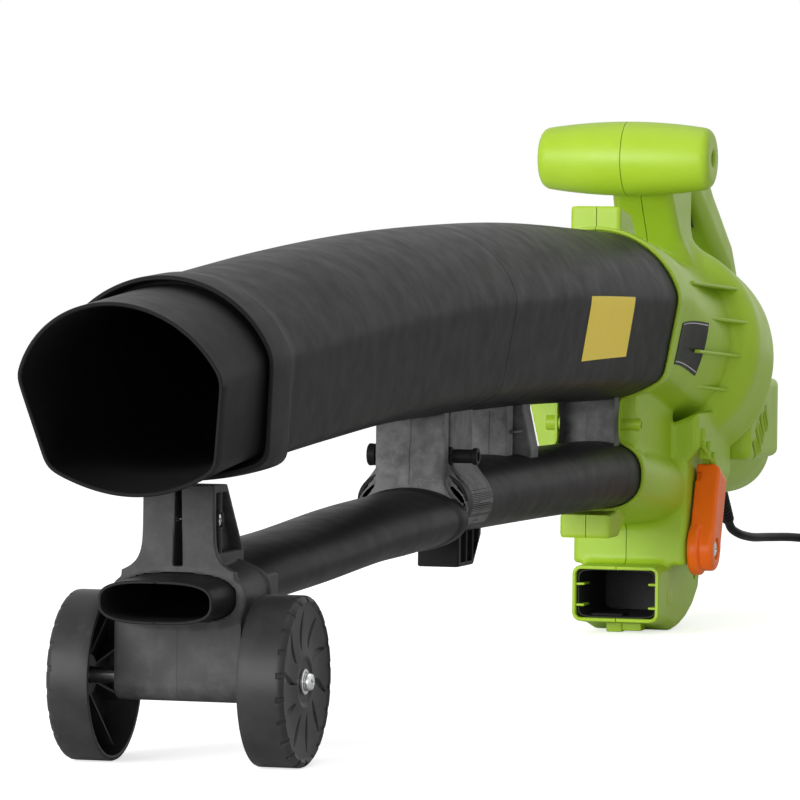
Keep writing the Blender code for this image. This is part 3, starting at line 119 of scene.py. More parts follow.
# Column: height, front, rear, half width
COLUMN_STATIONS = np.array((
    (0.244, 0.160, 0.196, 0.0340),
    (0.252, 0.155, 0.195, 0.0300),
    (0.266, 0.150, 0.195, 0.0236),
    (0.293, 0.131, 0.199, 0.0212),
    (0.330, 0.112, 0.212, 0.0200),
))
HANDLE_OUTLINE = (
    (0.091, 0.303), (0.091, 0.338), (0.130, 0.3425), (0.172, 0.3425), (0.203, 0.339), (0.232, 0.326),
    (0.271, 0.301), (0.334, 0.266), (0.351, 0.247), (0.362, 0.224), (0.368, 0.200), (0.366, 0.160),
    (0.336, 0.160), (0.334, 0.212), (0.320, 0.243), (0.205, 0.300), (0.170, 0.303), (0.130, 0.301),
)
SLOPE_START = (0.205, 0.300)
SLOPE_END = (0.320, 0.243)
OUTLET_OUTLINE = (
    (0.055, 0.0087), (0.055, 0.0463), (0.100, 0.0463), (0.110, 0.0600), (0.205, 0.1100), (0.210, 0.0600),
    (0.1990, 0.0350), (0.1950, 0.0235), (0.1770, 0.0125), (0.1580, 0.0060), (0.1380, 0.0020),
    (0.1200, 0.0004),
    (0.0950, 0.0060), (0.069, 0.0087),
)
TOP_HOOK = ((0.002, 0.287), (0.034, 0.282), (0.054, 0.264), (0.054, 0.255), (0.002, 0.255))
LOW_HOOK = ((-0.018, 0.0695), (-0.018, 0.0850), (0.000, 0.0868), (0.027, 0.0900), (0.027, 0.0810),
            (0.008, 0.0695))
# Case screws and, last, the neck's: distance behind the flange, height, seat
SCREW_POSTS = (
    (0.091, 0.320, 0.0500),
    (0.172, 0.322, 0.0120),
    (0.345, 0.222, 0.0120),
    (0.180, 0.036, 0.0250),
    (0.006, 0.1437, 0.0280),
)
# Gussets: height, drop, then distance behind the flange and reach at the front and the rear end
GUSSETS = (
    (0.2372, 0.0044, 0.060, 0.0535, 0.168, 0.0600),
    (0.2137, 0.0038, 0.092, 0.0570, 0.160, 0.0690),
    (0.1914, 0.0048, 0.066, 0.0570, 0.160, 0.0667),
    (0.1676, 0.0038, 0.092, 0.0470, 0.149, 0.0583),
)
LEVER_AXIS = (0.113, 0.057)
LEVER_LEAN = math.radians(22.0)
AXLE = (-0.850, 0.0425)
JOINT_PIN = (0.0, -0.4300, 0.1380)

# Carrier: its front, its screws (distance, height, recess, seat, length), each wheel's inner and outer face
CARRIER_FRONT = -0.8620
CARRIER_SCREWS = ((-0.8490, 0.1210, 0.0143, 0.0148, 0.024), (-0.8460, 0.0600, 0.0290, 0.0295, 0.055))
WHEEL_SPANS = {"left": (0.0360, 0.0586), "right": (0.0402, 0.0641)}
WHEEL_RIBS, WHEEL_PETALS, WHEEL_NOTCHES = 8, 10.0, 22.0

# Mains cord and its strain relief
CORD_RADIUS = 0.0033
RELIEF_START = np.array((0.0, 0.372, 0.0920))
RELIEF_TIP = np.array((0.0, 0.425, 0.0610))
RELIEF_LENGTH = np.linalg.norm(RELIEF_TIP - RELIEF_START)
RELIEF_OUT = (RELIEF_TIP - RELIEF_START) / RELIEF_LENGTH
RELIEF_RIBS = 9
CORD_GAP = 0.0003
CORD_ROUTE = ((0.0030, 0.452, 0.0490), (0.0070, 0.480, 0.0452), (0.0120, 0.520, 0.0434),
              (0.025, 0.572, 0.0405),
              (0.050, 0.628, 0.0325), (0.094, 0.6625, 0.0225), (0.144, 0.657, 0.0178), (0.168, 0.641, 0.0178))

# Camera: yaw, pitch and roll in degrees, place and lens
CAMERA_TURN = (15.87, 1.6, 0.6)
CAMERA_PLACE = (0.776, FLANGE_Y - 3.195, 0.2499)
CAMERA_LENS = 225.0


def world(points):
    """Shifts points given behind the flange into the frame."""
    return np.asarray(points, float) + (0.0, FLANGE_Y, 0.0)


def add_object(name, data):
    """A new object in the scene."""
    made = bpy.data.objects.new(name, data)
    bpy.context.scene.collection.objects.link(made)
    return made


# Camera first, then the cord


def make_camera():
    """A long lens in front of the mouth, turned, tipped and rolled as in the photograph."""
    yaw, pitch, roll = (math.radians(a) for a in CAMERA_TURN)
    ahead = Vector((-math.sin(yaw) * math.cos(pitch), math.cos(yaw) * math.cos(pitch), -math.sin(pitch)))
    right = ahead.cross(Vector((0.0, 0.0, 1.0))).normalized()
    up = right.cross(ahead)
    turned_right = math.cos(roll) * right + math.sin(roll) * up
    turned_up = math.cos(roll) * up - math.sin(roll) * right
    data = bpy.data.cameras.new("photo_view")
    data.sensor_width = 36.0
    data.lens = CAMERA_LENS
    data.clip_start = 0.05
    data.clip_end = 60.0
    camera = add_object("photo_view", data)
    turn = Matrix((turned_right, turned_up, -ahead)).transposed()
    camera.matrix_world = Matrix.Translation(CAMERA_PLACE) @ turn.to_4x4()
    bpy.context.scene.camera = camera


# Meshes


def quads_of(rows, columns, join_rows):
    """Quads of a grid whose rows run round, as vertex numbers; its last row joins its first where asked."""
    index = np.arange(rows * columns).reshape(rows, columns)
    if join_rows:
        index = np.vstack([index, index[:1]])
    index = np.hstack([index, index[:, :1]])
    return np.stack([index[:-1, :-1], index[:-1, 1:], index[1:, 1:], index[1:, :-1]], axis=-1).reshape(-1, 4)


def piece(name, points, faces, finish, **facts):
    """A mesh of points and faces, its doubles merged and its normals turned out, put as a finished object."""
    mesh = bpy.data.meshes.new(name)
    mesh.from_pydata(np.asarray(points, float).tolist(), [], [list(map(int, face)) for face in faces])
    work = bmesh.new()
    work.from_mesh(mesh)
    bmesh.ops.remove_doubles(work, verts=work.verts, dist=1e-6)
    bmesh.ops.recalc_face_normals(work, faces=work.faces)
    work.to_mesh(mesh)
    work.free()
    return put(name, mesh, finish, **facts)


def put(name, mesh, finish, body=MACHINE, stands_for=(), sharp=34.0, slot=None):
    """A finished object at the origin that rides on a body and stands for CAD nodes."""
    mesh.shade_smooth()
    mesh.set_sharp_from_angle(angle=math.radians(sharp))
    made = add_object(name, mesh)
    mesh.materials.clear()
    mesh.materials.append(finish)
    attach(made, body)
    if stands_for:
        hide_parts(*stands_for)
    return made


def rings_of(rings, closed=False):
    """Points and quads of rows that each run round, with end caps or joined end to end."""
    rings = np.asarray(rings, float)
    rows, columns = rings.shape[:2]
    faces = quads_of(rows, columns, closed).tolist()
    if not closed:
        faces.append(list(range(columns))[::-1])
        faces.append(list(range((rows - 1) * columns, rows * columns)))
    return rings.reshape(-1, 3), faces


def skin(name, rings, finish, closed=False, **facts):
    """A piece from rings given behind the flange."""
    points, faces = rings_of(rings, closed)
    return piece(name, world(points), faces, finish, **facts)


def several(parts):
    """Joins (points, faces) pairs into one pair."""
    points, faces, start = [], [], 0
    for part_points, part_faces in parts:
        points.append(np.asarray(part_points, float).reshape(-1, 3))
        faces += [[start + i for i in face] for face in part_faces]
        start += len(points[-1])
    return np.vstack(points), faces


def read(at, places, sizes):
    """Columns of sizes given at places, read straight between them."""
    return [np.interp(at, places, column) for column in sizes.T]


def eased(table, at):
    """Reads a station table on a smooth curve: cubic pieces whose slopes are the neighbours' mean slopes."""
    table = table[np.argsort(table[:, 0])]
    place, value = table[:, 0], table[:, 1:]
    run = np.diff(place)[:, None]
    chord = np.diff(value, axis=0) / run
    slope = np.vstack([chord[:1], 0.5 * (chord[:-1] + chord[1:]), chord[-1:]])
    at = np.clip(np.asarray(at, float), place[0], place[-1])
    i = np.clip(np.searchsorted(place, at, side="right") - 1, 0, len(place) - 2)
    step = run[i, 0][..., None]
    t = ((at - place[i]) / step[..., 0])[..., None]
    return ((2 * t**3 - 3 * t**2 + 1) * value[i] + (t**3 - 2 * t**2 + t) * step * slope[i]
            + (3 * t**2 - 2 * t**3) * value[i + 1] + (t**3 - t**2) * step * slope[i + 1])


def shield(distance, top, bottom, half, low, shear=0.0):
    """Rings of the suction section: a round top, straight flanks and a shallow floor, its corners
    rounded by averaging each point with its neighbours several times. Shear leans the ring's top forward."""
    distance, top, bottom, half, low = (np.atleast_1d(np.asarray(v, float))[:, None]
                                        for v in (distance, top, bottom, half, low))
    height = top - bottom
    rise = TOP_RISE * height
    radius = (half**2 + rise**2) / (2.0 * rise)
    span = np.arcsin(np.minimum(1.0, half / radius))
    turn = span * np.linspace(1.0, -1.0, 97)
    low_half = low * half
    reach = FLANK_REACH + REACH_GAIN * (low - USUAL_LOW)
    sag = (1.0 - reach) * height
    down = np.linspace(0.0, 1.0, 26)[1:-1]
    across = np.linspace(-1.0, 1.0, 49)
    flank_x = -half + (half - low_half) * down
    flank_z = top - rise - (reach * height - rise) * down
    x = np.hstack([radius * np.sin(turn), flank_x, low_half * across, -flank_x[:, ::-1]])
    z = np.hstack([top - radius + radius * np.cos(turn), flank_z, bottom + sag * across**2, flank_z[:, ::-1]])
    for _ in range(SOFTENING_PASSES):
        x = 0.25 * (np.roll(x, 1, 1) + 2.0 * x + np.roll(x, -1, 1))
        z = 0.25 * (np.roll(z, 1, 1) + 2.0 * z + np.roll(z, -1, 1))
    x = x * half / np.abs(x).max(axis=1, keepdims=True)
    y = distance - shear * (z - 0.5 * (top + bottom))
    return np.stack([x, y + np.zeros_like(x), z], axis=-1)


def suction_rings(distances, offset=0.0):
    """Rings of the suction tube's surface at some distances, moved out by an offset."""
    distances = np.asarray(distances, float)
    top, bottom, half, low = eased(SUCTION_STATIONS, distances).T
    offset = np.broadcast_to(offset, distances.shape)
    return shield(distances, top + offset, bottom - offset, half + offset, low)


def oval(distance, centre, half, height, power):
    """Rings whose |x|, |z| to the power add to one, a little squarer than an ellipse."""
    distance, centre, half, height, power = (np.atleast_1d(np.asarray(v, float))[:, None]
                                             for v in (distance, centre, half, height, power))
    angle = np.linspace(0.0, 2.0 * np.pi, 144, endpoint=False)
    c, s = np.cos(angle), np.sin(angle)
    size = (np.abs(c)**power + np.abs(s)**power)**(-1.0 / power)
    x, z = half * (c * size), centre + height * (s * size)
    return np.stack([x, distance + np.zeros_like(x), z], axis=-1)


def blower_rings(stations, distances, offset=0.0):
    """Rings of a blower tube's surface at some distances, moved out by an offset."""
    distances = np.asarray(distances, float)
    centre, half, height, power = eased(stations, distances).T
    offset = np.broadcast_to(offset, distances.shape)
    return oval(distances, centre, half + offset, height + offset, power)


# Moulded forms, worked out as distance fields and skinned


def meet(a, b, radius):
    """Where both forms are: the greater distance, with the outer edge rounded to a radius."""
    outer = np.hypot(np.maximum(a + radius, 0.0), np.maximum(b + radius, 0.0))
    return np.minimum(np.maximum(a, b), -radius) + outer


def blend(a, b, radius):
    """Where either form is: the lesser distance, with the inner corner filleted to a radius."""
    return -meet(-a, -b, radius)


def slab(value, low, high):
    """Distance to the slab between two values of a coordinate."""
    return np.abs(value - 0.5 * (low + high)) - 0.5 * (high - low)


def outline_field(outline, y, z):
    """Signed distance to a closed outline of (y, z) points: the nearest edge, negative inside by the
    even-odd rule."""
    nearest = np.full(np.broadcast(y, z).shape, 1e9)
    inside = np.zeros(nearest.shape, bool)
    for (y0, z0), (y1, z1) in zip(outline, outline[1:] + outline[:1]):
        ey, ez = y1 - y0, z1 - z0
        share = np.clip(((y - y0) * ey + (z - z0) * ez) / (ey * ey + ez * ez), 0.0, 1.0)
        nearest = np.minimum(nearest, (y - y0 - share * ey)**2 + (z - z0 - share * ez)**2)
        if z0 != z1:
            inside ^= ((z0 > z) != (z1 > z)) & (y < (z - z0) * ey / ez + y0)
    return np.where(inside, -1.0, 1.0) * np.sqrt(nearest)


def crossed_cells(values, grid):
    """One point for each grid cell that the zero level crosses, the mean of the crossings on its
    edges, and a quad for each crossed grid edge from the four cells round it."""
    inside = values < 0.0
    corners = [(i, j, k) for i in (0, 1) for j in (0, 1) for k in (0, 1)]
    shape = tuple(n - 1 for n in values.shape)
    count = sum(inside[i:i + shape[0], j:j + shape[1], k:k + shape[2]].astype(np.int8) for i, j, k in corners)
    cell = np.argwhere((count > 0) & (count < 8))
    number = np.full(shape, -1, np.int64)
    number[tuple(cell.T)] = np.arange(len(cell))
    total = np.zeros((len(cell), 3))
    hits = np.zeros(len(cell))
    for a in corners:
        for axis in range(3):
            if a[axis]:
                continue
            b = list(a)
            b[axis] = 1
            first = values[tuple((cell + a).T)]
            second = values[tuple((cell + b).T)]
            crossing = (first < 0.0) != (second < 0.0)
            share = np.where(crossing, first / np.where(crossing, first - second, 1.0), 0.0)
            place = np.array(a, float)[None, :].repeat(len(cell), 0)
            place[:, axis] = share
            total += place * crossing[:, None]
            hits += crossing
    local = cell + total / hits[:, None]
    points = np.stack([np.interp(local[:, i], np.arange(len(grid[i])), grid[i]) for i in range(3)], axis=-1)
    faces = []
    for axis in range(3):
        other = [i for i in range(3) if i != axis]
        low = [slice(None)] * 3
        high = [slice(None)] * 3
        low[axis], high[axis] = slice(0, -1), slice(1, None)
        first, second = inside[tuple(low)], inside[tuple(high)]
        edge = np.argwhere(first != second)
        keep = np.all([(edge[:, i] > 0) & (edge[:, i] < values.shape[i] - 1) for i in other], axis=0)
        edge = edge[keep]
        leaving = first[tuple(edge.T)]
        ring = []
        for step_a, step_b in ((-1, -1), (0, -1), (0, 0), (-1, 0)):
            around = edge.copy()
            around[:, other[0]] += step_a
            around[:, other[1]] += step_b
            ring.append(number[tuple(around.T)])
        quad = np.stack(ring, axis=-1)
        if axis == 1:
            leaving = ~leaving
        faces.append(np.where(leaving[:, None], quad, quad[:, ::-1]))
    return points, np.vstack(faces)


def moulded(field, low, high, step):
    """The surface where a distance field is zero, as points and quads. Its points are pulled three
    times along the field's slope on to the level, so that it stays smooth between grid lines."""
    grid = [np.arange(a, b + step, step) for a, b in zip(low, high)]
    values = field(grid[0][:, None, None], grid[1][None, :, None], grid[2][None, None, :])
    points, faces = crossed_cells(values, grid)
    small = 0.12 * step
    for _ in range(3):
        x, y, z = points.T
        here = field(x, y, z)
        slope = np.stack([field(x + small, y, z), field(x, y + small, z), field(x, y, z + small)], axis=-1)
        slope = (slope - here[:, None]) / small
        size = np.maximum((slope**2).sum(axis=1), 0.2)
        move = -slope * (here / size)[:, None]
        reach = np.linalg.norm(move, axis=1, keepdims=True)
        points = points + move * np.minimum(1.0, 0.6 * step / np.maximum(reach, 1e-9))
    return points, faces


def moulded_mesh(name, field, low, high, step):
    points, faces = moulded(field, low, high, step)
    mesh = bpy.data.meshes.new(name)
    mesh.from_pydata(world(points).tolist(), [], faces.tolist())
    return mesh


def carved(body, tool, operation, name):
    """One mesh joined with another by a Boolean, as a new mesh."""
    things = [add_object(name, body), add_object("carving_tool", tool)]
    step = things[0].modifiers.new("carve", "BOOLEAN")
    step.operation = operation
    step.solver = "MANIFOLD"
    step.object = things[1]
    bpy.context.view_layer.update()
    result = bpy.data.meshes.new_from_object(things[0].evaluated_get(bpy.context.evaluated_depsgraph_get()))
    for thing in things:
        bpy.data.objects.remove(thing)
    if len(result.polygons) == 0:
        raise ValueError(f"nothing is left of {name}")
    result.name = name
    return result


def side_block(low, high):
    """A box between two x planes, long and tall enough for the whole machine."""
    corners = [(x, y, z) for x in (low, high) for y in (-1.5, 1.5) for z in (-0.5, 0.8)]
    faces = [(0, 1, 3, 2), (4, 6, 7, 5), (0, 4, 5, 1), (2, 3, 7, 6), (0, 2, 6, 4), (1, 5, 7, 3)]
    block = bpy.data.meshes.new("side_block")
    block.from_pydata(corners, [], faces)
    return block


def halves_of(whole, name, gap, finish, sharp, hollow=None):
    """The left and the right half of a form, each hollowed and put in its CAD node's place."""
    for label, low, high in (("left", -0.2, -gap), ("right", gap, 0.2)):
        half = carved(whole, side_block(low, high), "INTERSECT", f"{name}_shell_{label}")
        if hollow:
            half = carved(half, hollow, "DIFFERENCE", f"{name}_shell_{label}")
        put(f"{name}_shell_{label}", half, finish, stands_for=[f"{name}_{label}"], sharp=sharp)


def rounded_block(low, high, radius):
    """Rings along x of a rectangle with rounded corners, drawn in at both ends on a quarter circle."""
    low, high = np.asarray(low, float), np.asarray(high, float)
    quarter = np.linspace(0.0, 0.5 * np.pi, 5)
    x = np.concatenate([low[0] + radius - radius * np.cos(quarter),
                        high[0] - radius + radius * np.sin(quarter)])
    inset = np.concatenate([radius * (1.0 - np.sin(quarter)), radius * (1.0 - np.cos(quarter))])
    turn = np.concatenate([np.linspace(0.5 * k * np.pi, 0.5 * (k + 1) * np.pi, 5) for k in range(4)])
    corner = np.repeat(((1.0, 1.0), (-1.0, 1.0), (-1.0, -1.0), (1.0, -1.0)), 5, axis=0)
    middle, half = 0.5 * (low + high), 0.5 * (high - low)
    reach = np.maximum(radius - inset[:, None], 1e-5)
    y = middle[1] + corner[:, 0] * (half[1] - radius) + reach * np.cos(turn)
    z = middle[2] + corner[:, 1] * (half[2] - radius) + reach * np.sin(turn)
    return np.stack([x[:, None] + 0.0 * y, y, z], axis=-1)


# Green housing


SHIELD_ANGLES = np.linspace(-np.pi, np.pi, 721)


def shield_radius_table():
    """The flange section's radius about its own middle, by angle."""
    ring = shield(0.0, *SUCTION_STATIONS[0, 1:])[0]
    middle = 0.5 * (SUCTION_STATIONS[0, 1] + SUCTION_STATIONS[0, 2])
    angle = np.arctan2(ring[:, 2] - middle, ring[:, 0])
    order = np.argsort(angle)
    radius = np.hypot(ring[:, 0], ring[:, 2] - middle)
    return np.interp(SHIELD_ANGLES, angle[order], radius[order], period=2 * np.pi)


SHIELD_RADII = shield_radius_table()


def adaptor_share(distance):
    """How far the section has changed from the flange's shield to the drum's circle, eased at both ends."""
    share = np.clip((distance - 0.020) / 0.130, 0.0, 1.0)
    return share * share * (3.0 - 2.0 * share)


def adaptor_field(x, y, z):
    """Section radius by angle, easing from the flange's shield to the drum's round inlet."""
    share = adaptor_share(y)
    centre = ADAPTOR_MIDDLE - ADAPTOR_FALL * share
    radius = np.interp(np.arctan2(z - centre, x), SHIELD_ANGLES, SHIELD_RADII)
    return 0.95 * (np.hypot(x, z - centre) - radius - (ADAPTOR_END - radius) * share)


def adaptor_surface(distance, angle, offset):
    """Points of the adaptor's surface by distance and angle, lifted by an offset."""
    share = adaptor_share(distance)
    radius = np.interp(angle, SHIELD_ANGLES, SHIELD_RADII)
    radius = radius + (ADAPTOR_END - radius) * share + offset
    height = ADAPTOR_MIDDLE - ADAPTOR_FALL * share + radius * np.sin(angle)
    return np.stack([radius * np.cos(angle), distance, height], axis=-1)


def drum_field(x, y, z):
    along = (y - FAN_CENTRE[0]) * math.cos(FAN_TILT) - (z - FAN_CENTRE[1]) * math.sin(FAN_TILT)
    up = (y - FAN_CENTRE[0]) * math.sin(FAN_TILT) + (z - FAN_CENTRE[1]) * math.cos(FAN_TILT)
    rim = meet(np.hypot(x, up) - DRUM_RADIUS, DRUM_FRONT - along, 0.019)
    return meet(rim, along - DRUM_REAR, 0.006)


def oval_field(x, z, centre, half, height, power):
    """Distance to such an oval, near enough close to its surface."""
    size = ((np.abs(x) / half)**power + (np.abs(z - centre) / height)**power + 1e-9)**(1.0 / power)
    return (size - 1.0) * np.sqrt(half * height) * 0.95


HOOD_PLACES = np.linspace(HOOD_STATIONS[0, 0], HOOD_STATIONS[-1, 0], 200)
HOOD_SIZES = eased(HOOD_STATIONS, HOOD_PLACES)


def hood_field(x, y, z):
    centre, half, height = read(y, HOOD_PLACES, HOOD_SIZES)
    shell = meet(meet(oval_field(x, z, centre, half, height, 2.6), y - 0.388, 0.003), 0.204 - y, 0.001)
    side = np.interp(y, *PANEL_SIDE)
    panel = meet(meet(np.abs(x) - side, slab(z, 0.1130, 0.1680), 0.0050), slab(y, 0.2150, 0.3360), 0.0060)
    return blend(shell, panel, 0.0015)


COLUMN_PLACES = np.linspace(COLUMN_STATIONS[0, 0], COLUMN_STATIONS[-1, 0], 100)
COLUMN_SIZES = eased(COLUMN_STATIONS, COLUMN_PLACES)


def column_field(x, y, z):
    front, rear, half = read(z, COLUMN_PLACES, COLUMN_SIZES)
    upright = meet(np.abs(x) - half, np.abs(y - 0.5 * (front + rear)) - 0.5 * (rear - front), 0.008)
    return meet(upright, slab(z, 0.240, 0.334), 0.001)


def grip_field(x, y, z):
    """A barrel: its radius falls with the square of the distance from its middle; its ends are rounded."""
    radius = 0.02498 - 0.0045 * (np.abs(x) / 0.056)**2
    return meet(np.hypot(y - 0.091, z - 0.320) - radius, np.abs(x + 0.0004) - 0.0590, 0.0058)


def outlet_field(x, y, z):
    return meet(outline_field(OUTLET_OUTLINE, y, z), np.abs(x + 0.0004) - 0.0299, 0.006)


def neck_field(x, y, z):
    """A thin plate under the flange, its left edge leaning in towards the floor, with a narrower
    column behind."""
    left = np.interp(z, (0.128, 0.158), (-0.0376, -0.0445))
    plate = meet(np.maximum(x - 0.0288, left - x), slab(y, 0.0030, 0.0080), 0.0012)
    plate = meet(plate, slab(z, 0.124, 0.166), 0.001)
    right = 0.0262 + 0.0040 * np.clip((y - 0.0080) / 0.090, 0.0, 1.0)
    column = meet(np.maximum(x - right, -0.0300 - x), slab(y, 0.0060, 0.1050), 0.0020)
    return np.minimum(plate, meet(column, slab(z, 0.110, 0.170), 0.001))


def diverter_box_field(x, y, z):
    """A box whose right wall stands back along the lever's sweep and flares out beyond it, under
    a rising lid."""
    sweep = np.hypot(y - LEVER_AXIS[0], z - LEVER_AXIS[1])
    past = np.clip((sweep - 0.0600) / 0.0100, 0.0, 1.0)
    side = 0.0418 + 0.0078 * past * np.clip((z - 0.085) / 0.020, 0.0, 1.0)
    lid = 0.1400 + 0.42 * np.clip(x - 0.026, 0.0, 0.026)
    form = meet(np.maximum(0.90 * (x - side), -0.0371 - x), slab(y, 0.098, 0.204), 0.0040)
    return meet(form, np.maximum(0.046 - z, 0.9 * (z - lid)), 0.0025), x - side


def body_field(x, y, z):
    """The housing's outer form: its volumes joined with fillets."""
    adaptor = meet(meet(adaptor_field(x, y, z), -y, 0.0006), y - 0.164, 0.002)
    upper = blend(drum_field(x, y, z), adaptor, 0.005)
    upper = blend(upper, hood_field(x, y, z), 0.009)
    handle = meet(outline_field(HANDLE_OUTLINE, y, z), np.abs(x) - 0.0212, 0.009)
    column = blend(column_field(x, y, z), handle, 0.004)
    upper = blend(upper, blend(column, grip_field(x, y, z), 0.003), 0.007)
    box, beyond = diverter_box_field(x, y, z)
    share = np.clip(y / 0.098, 0.0, 1.0)
    socket = oval_field(x, z, 0.1103 - 0.0119 * share, 0.0345 + 0.0067 * share, 0.0245 + 0.0006 * share, 2.4)
    lower = meet(blend(box, meet(socket, slab(y, 0.0005, 0.110), 0.0006), 0.0050), beyond, 0.002)
    lower = blend(lower, meet(outlet_field(x, y, z), 0.069 - y, 0.0006), 0.005)
    whole = blend(blend(upper, neck_field(x, y, z), 0.0012), lower, 0.0025)
    for hook in (TOP_HOOK, LOW_HOOK):
        whole = blend(whole, meet(outline_field(hook, y, z), np.abs(x + 0.0007) - 0.0169, 0.0022), 0.0015)
    return whole


def slope_coordinates(y, z):
    """Distances along the handle bar's underside and square to it."""
    run_y, run_z = SLOPE_END[0] - SLOPE_START[0], SLOPE_END[1] - SLOPE_START[1]
    length = math.hypot(run_y, run_z)
    run_y, run_z = run_y / length, run_z / length
    along = (y - SLOPE_START[0]) * run_y + (z - SLOPE_START[1]) * run_z
    return along, (z - SLOPE_START[1]) * run_y - (y - SLOPE_START[0]) * run_z


def housing_field(x, y, z):
    """The body as a solid, with the pits of its bores, slots, louvres and screw recesses."""
    form = body_field(x, y, z)
    inlet = np.maximum(adaptor_field(x, y, z) + SHELL_WALL, y - 0.034)
    socket = np.maximum(blower_field(x, 0.0 * y, z, 0.0003), y - 0.034)
    duct = np.maximum(outlet_field(x, y, z) + SHELL_WALL, y - 0.106)
    for pit in (inlet, socket, duct):
        form = meet(form, -pit, 0.0006)
    for louvre_y, louvre_z in LOUVRES:
        wide = (y - louvre_y) * SLANT + (z - louvre_z) * SLANT
        tall = (z - louvre_z) * SLANT - (y - louvre_y) * SLANT
        slot = np.maximum(meet(np.abs(wide) - 0.0024, np.abs(tall) - 0.0115, 0.0020), 0.035 - np.abs(x))
        form = meet(form, -slot, 0.0006)
    along, square = slope_coordinates(y, z)
    trigger = np.maximum(slab(along, 0.0050, 0.0570), slab(square, -0.030, 0.0045))
    form = meet(form, -np.maximum(trigger, np.abs(x) - 0.0090), 0.0006)
    for number, (post_y, post_z, seat) in enumerate(SCREW_POSTS):
        recess = 0.0055 if number == 0 else 0.0042
        form = meet(form, -np.maximum(np.hypot(y - post_y, z - post_z) - recess, seat - x), 0.0005)
    form = meet(form, -(np.hypot(y - LEVER_AXIS[0], z - LEVER_AXIS[1]) - 0.0046), 0.0003)
    off_y, off_z = y - RELIEF_START[1], z - RELIEF_START[2]
    run = off_y * RELIEF_OUT[1] + off_z * RELIEF_OUT[2]
    from_axis = np.sqrt(np.maximum(x**2 + off_y**2 + off_z**2 - run**2, 0.0))
    return meet(form, -np.maximum(from_axis - 0.0068, slab(run, -0.020, 0.030)), 0.0005)


def hollow_field(x, y, z):
    """The room inside the walls, with the screw posts kept and nothing near the mouths of the bores."""
    room = body_field(x, y, z) + SHELL_WALL
    for post_y, post_z, _ in SCREW_POSTS[:4]:
        room = np.maximum(room, 0.0058 - np.hypot(y - post_y, z - post_z))
    room = np.maximum(room, 0.029 - y)
    return np.maximum(room, np.minimum(0.101 - y, 0.0490 - z))


def make_housing(green):
    """Two half shells: the outer form and its pits are skinned finely, the room inside coarsely."""
    low, high = (-0.0880, -0.0220, -0.0040), (0.0880, 0.3940, 0.3500)
    whole = moulded_mesh("housing_form", housing_field, low, high, 0.0016)
    room = moulded_mesh("housing_room", hollow_field, low, high, 0.0030)
    halves_of(whole, "housing", 0.00024, green, 50.0, hollow=room)


def flange_field(x, y, z):
    """A lip that runs round the suction tube, down both sides of the neck and round the blower tube:
    the three openings joined with round corners, and the lip the band just outside their edge."""
    suction = adaptor_field(x, 0.0 * y, z) - 0.0002
    blower = blower_field(x, 0.0 * y, z, 0.0003)
    neck = np.maximum(np.abs(x + 0.0040) - 0.0198, slab(z, 0.115, 0.190))
    edge = blend(blend(suction, neck, 0.0050), blower, 0.0060)
    return meet(slab(edge, 0.0, 0.0023), slab(y, -0.0012, 0.0100), 0.0007)


def make_flange(green):
    """The lip, in two halves with a hair seam, and the neck's pin and boss."""
    step = 0.0008
    low, high = (-0.0630, -0.0040, 0.0800), (0.0630, 0.0130, 0.2780)
    whole = moulded_mesh("flange_form", flange_field, low, high, step)
    for label, low, high in (("left", -0.2, -0.00018), ("right", 0.00018, 0.2)):
        half = carved(whole, side_block(low, high), "INTERSECT", f"flange_lip_{label}")
        put(half.name, half, green, sharp=50.0)
    pin = lathe(((0.0180, 0.0036), (0.0180, 0.0040), (0.0312, 0.0040), (0.0315, 0.0037), (0.0315, 0.0028),
                 (0.0300, 0.0026)), 40,
                (0.0, 0.0042, 0.1437))
    skin("neck_pin", pin, green)
    boss = lathe(((-0.0190, 0.0048), (-0.0190, 0.0052), (-0.0322, 0.0052), (-0.0327, 0.0047),
                  (-0.0327, 0.0030), (-0.0310, 0.0028)), 40,
                 (0.0, 0.0046, 0.1440))
    skin("neck_boss", boss, green)


def make_outlet(green, dark, satin):
    """The bag outlet's four ribs, its dark liner with a sill, the catch under it and the patch
    on its side."""
    for number, (side, height) in enumerate(((-1.0, 0.0336), (-1.0, 0.0195), (1.0, 0.0341), (1.0, 0.0182))):
        ends = sorted((side * 0.0276, side * 0.0220))
        rings = rounded_block((ends[0], 0.0700, height - 0.0008), (ends[1], 0.0860, height + 0.0008), 0.0006)
        skin(f"outlet_rib_{number + 1}", rings, green)
    turn = np.linspace(0.0, 2.0 * np.pi, 72, endpoint=False)
    c, s = np.cos(turn), np.sin(turn)
    size = (np.abs(c)**9.0 + np.abs(s)**9.0)**(-1.0 / 9.0)
    place = np.array(((0.0715, 0.0265, 0.01605), (0.1500, 0.0265, 0.01605), (0.1502, 0.0002, 0.0002),
                      (0.1498, 0.0002, 0.0002),
                      (0.1496, 0.0260, 0.01555), (0.0715, 0.0260, 0.01555)))
    rings = np.stack([place[:, 1:2] * c * size, place[:, :1] + 0.0 * c, 0.0275 + place[:, 2:] * s * size],
                     axis=-1)
    skin("outlet_liner", rings, dark, closed=True)
    skin("outlet_sill", rounded_block((-0.0190, 0.0780, 0.0119), (0.0030, 0.0960, 0.0136), 0.0006), satin,
         slot="inner_plastic")
    skin("outlet_catch_left", rounded_block((-0.0122, 0.0930, 0.0002), (-0.0012, 0.1040, 0.0090), 0.0010),
         green)
    skin("outlet_catch_right", rounded_block((-0.0012, 0.0930, 0.0012), (0.0122, 0.1060, 0.0090), 0.0010),
         green)
    skin("outlet_side_patch", rounded_block((0.0286, 0.0943, 0.0188), (0.02985, 0.1100, 0.0303), 0.0006),
         green)


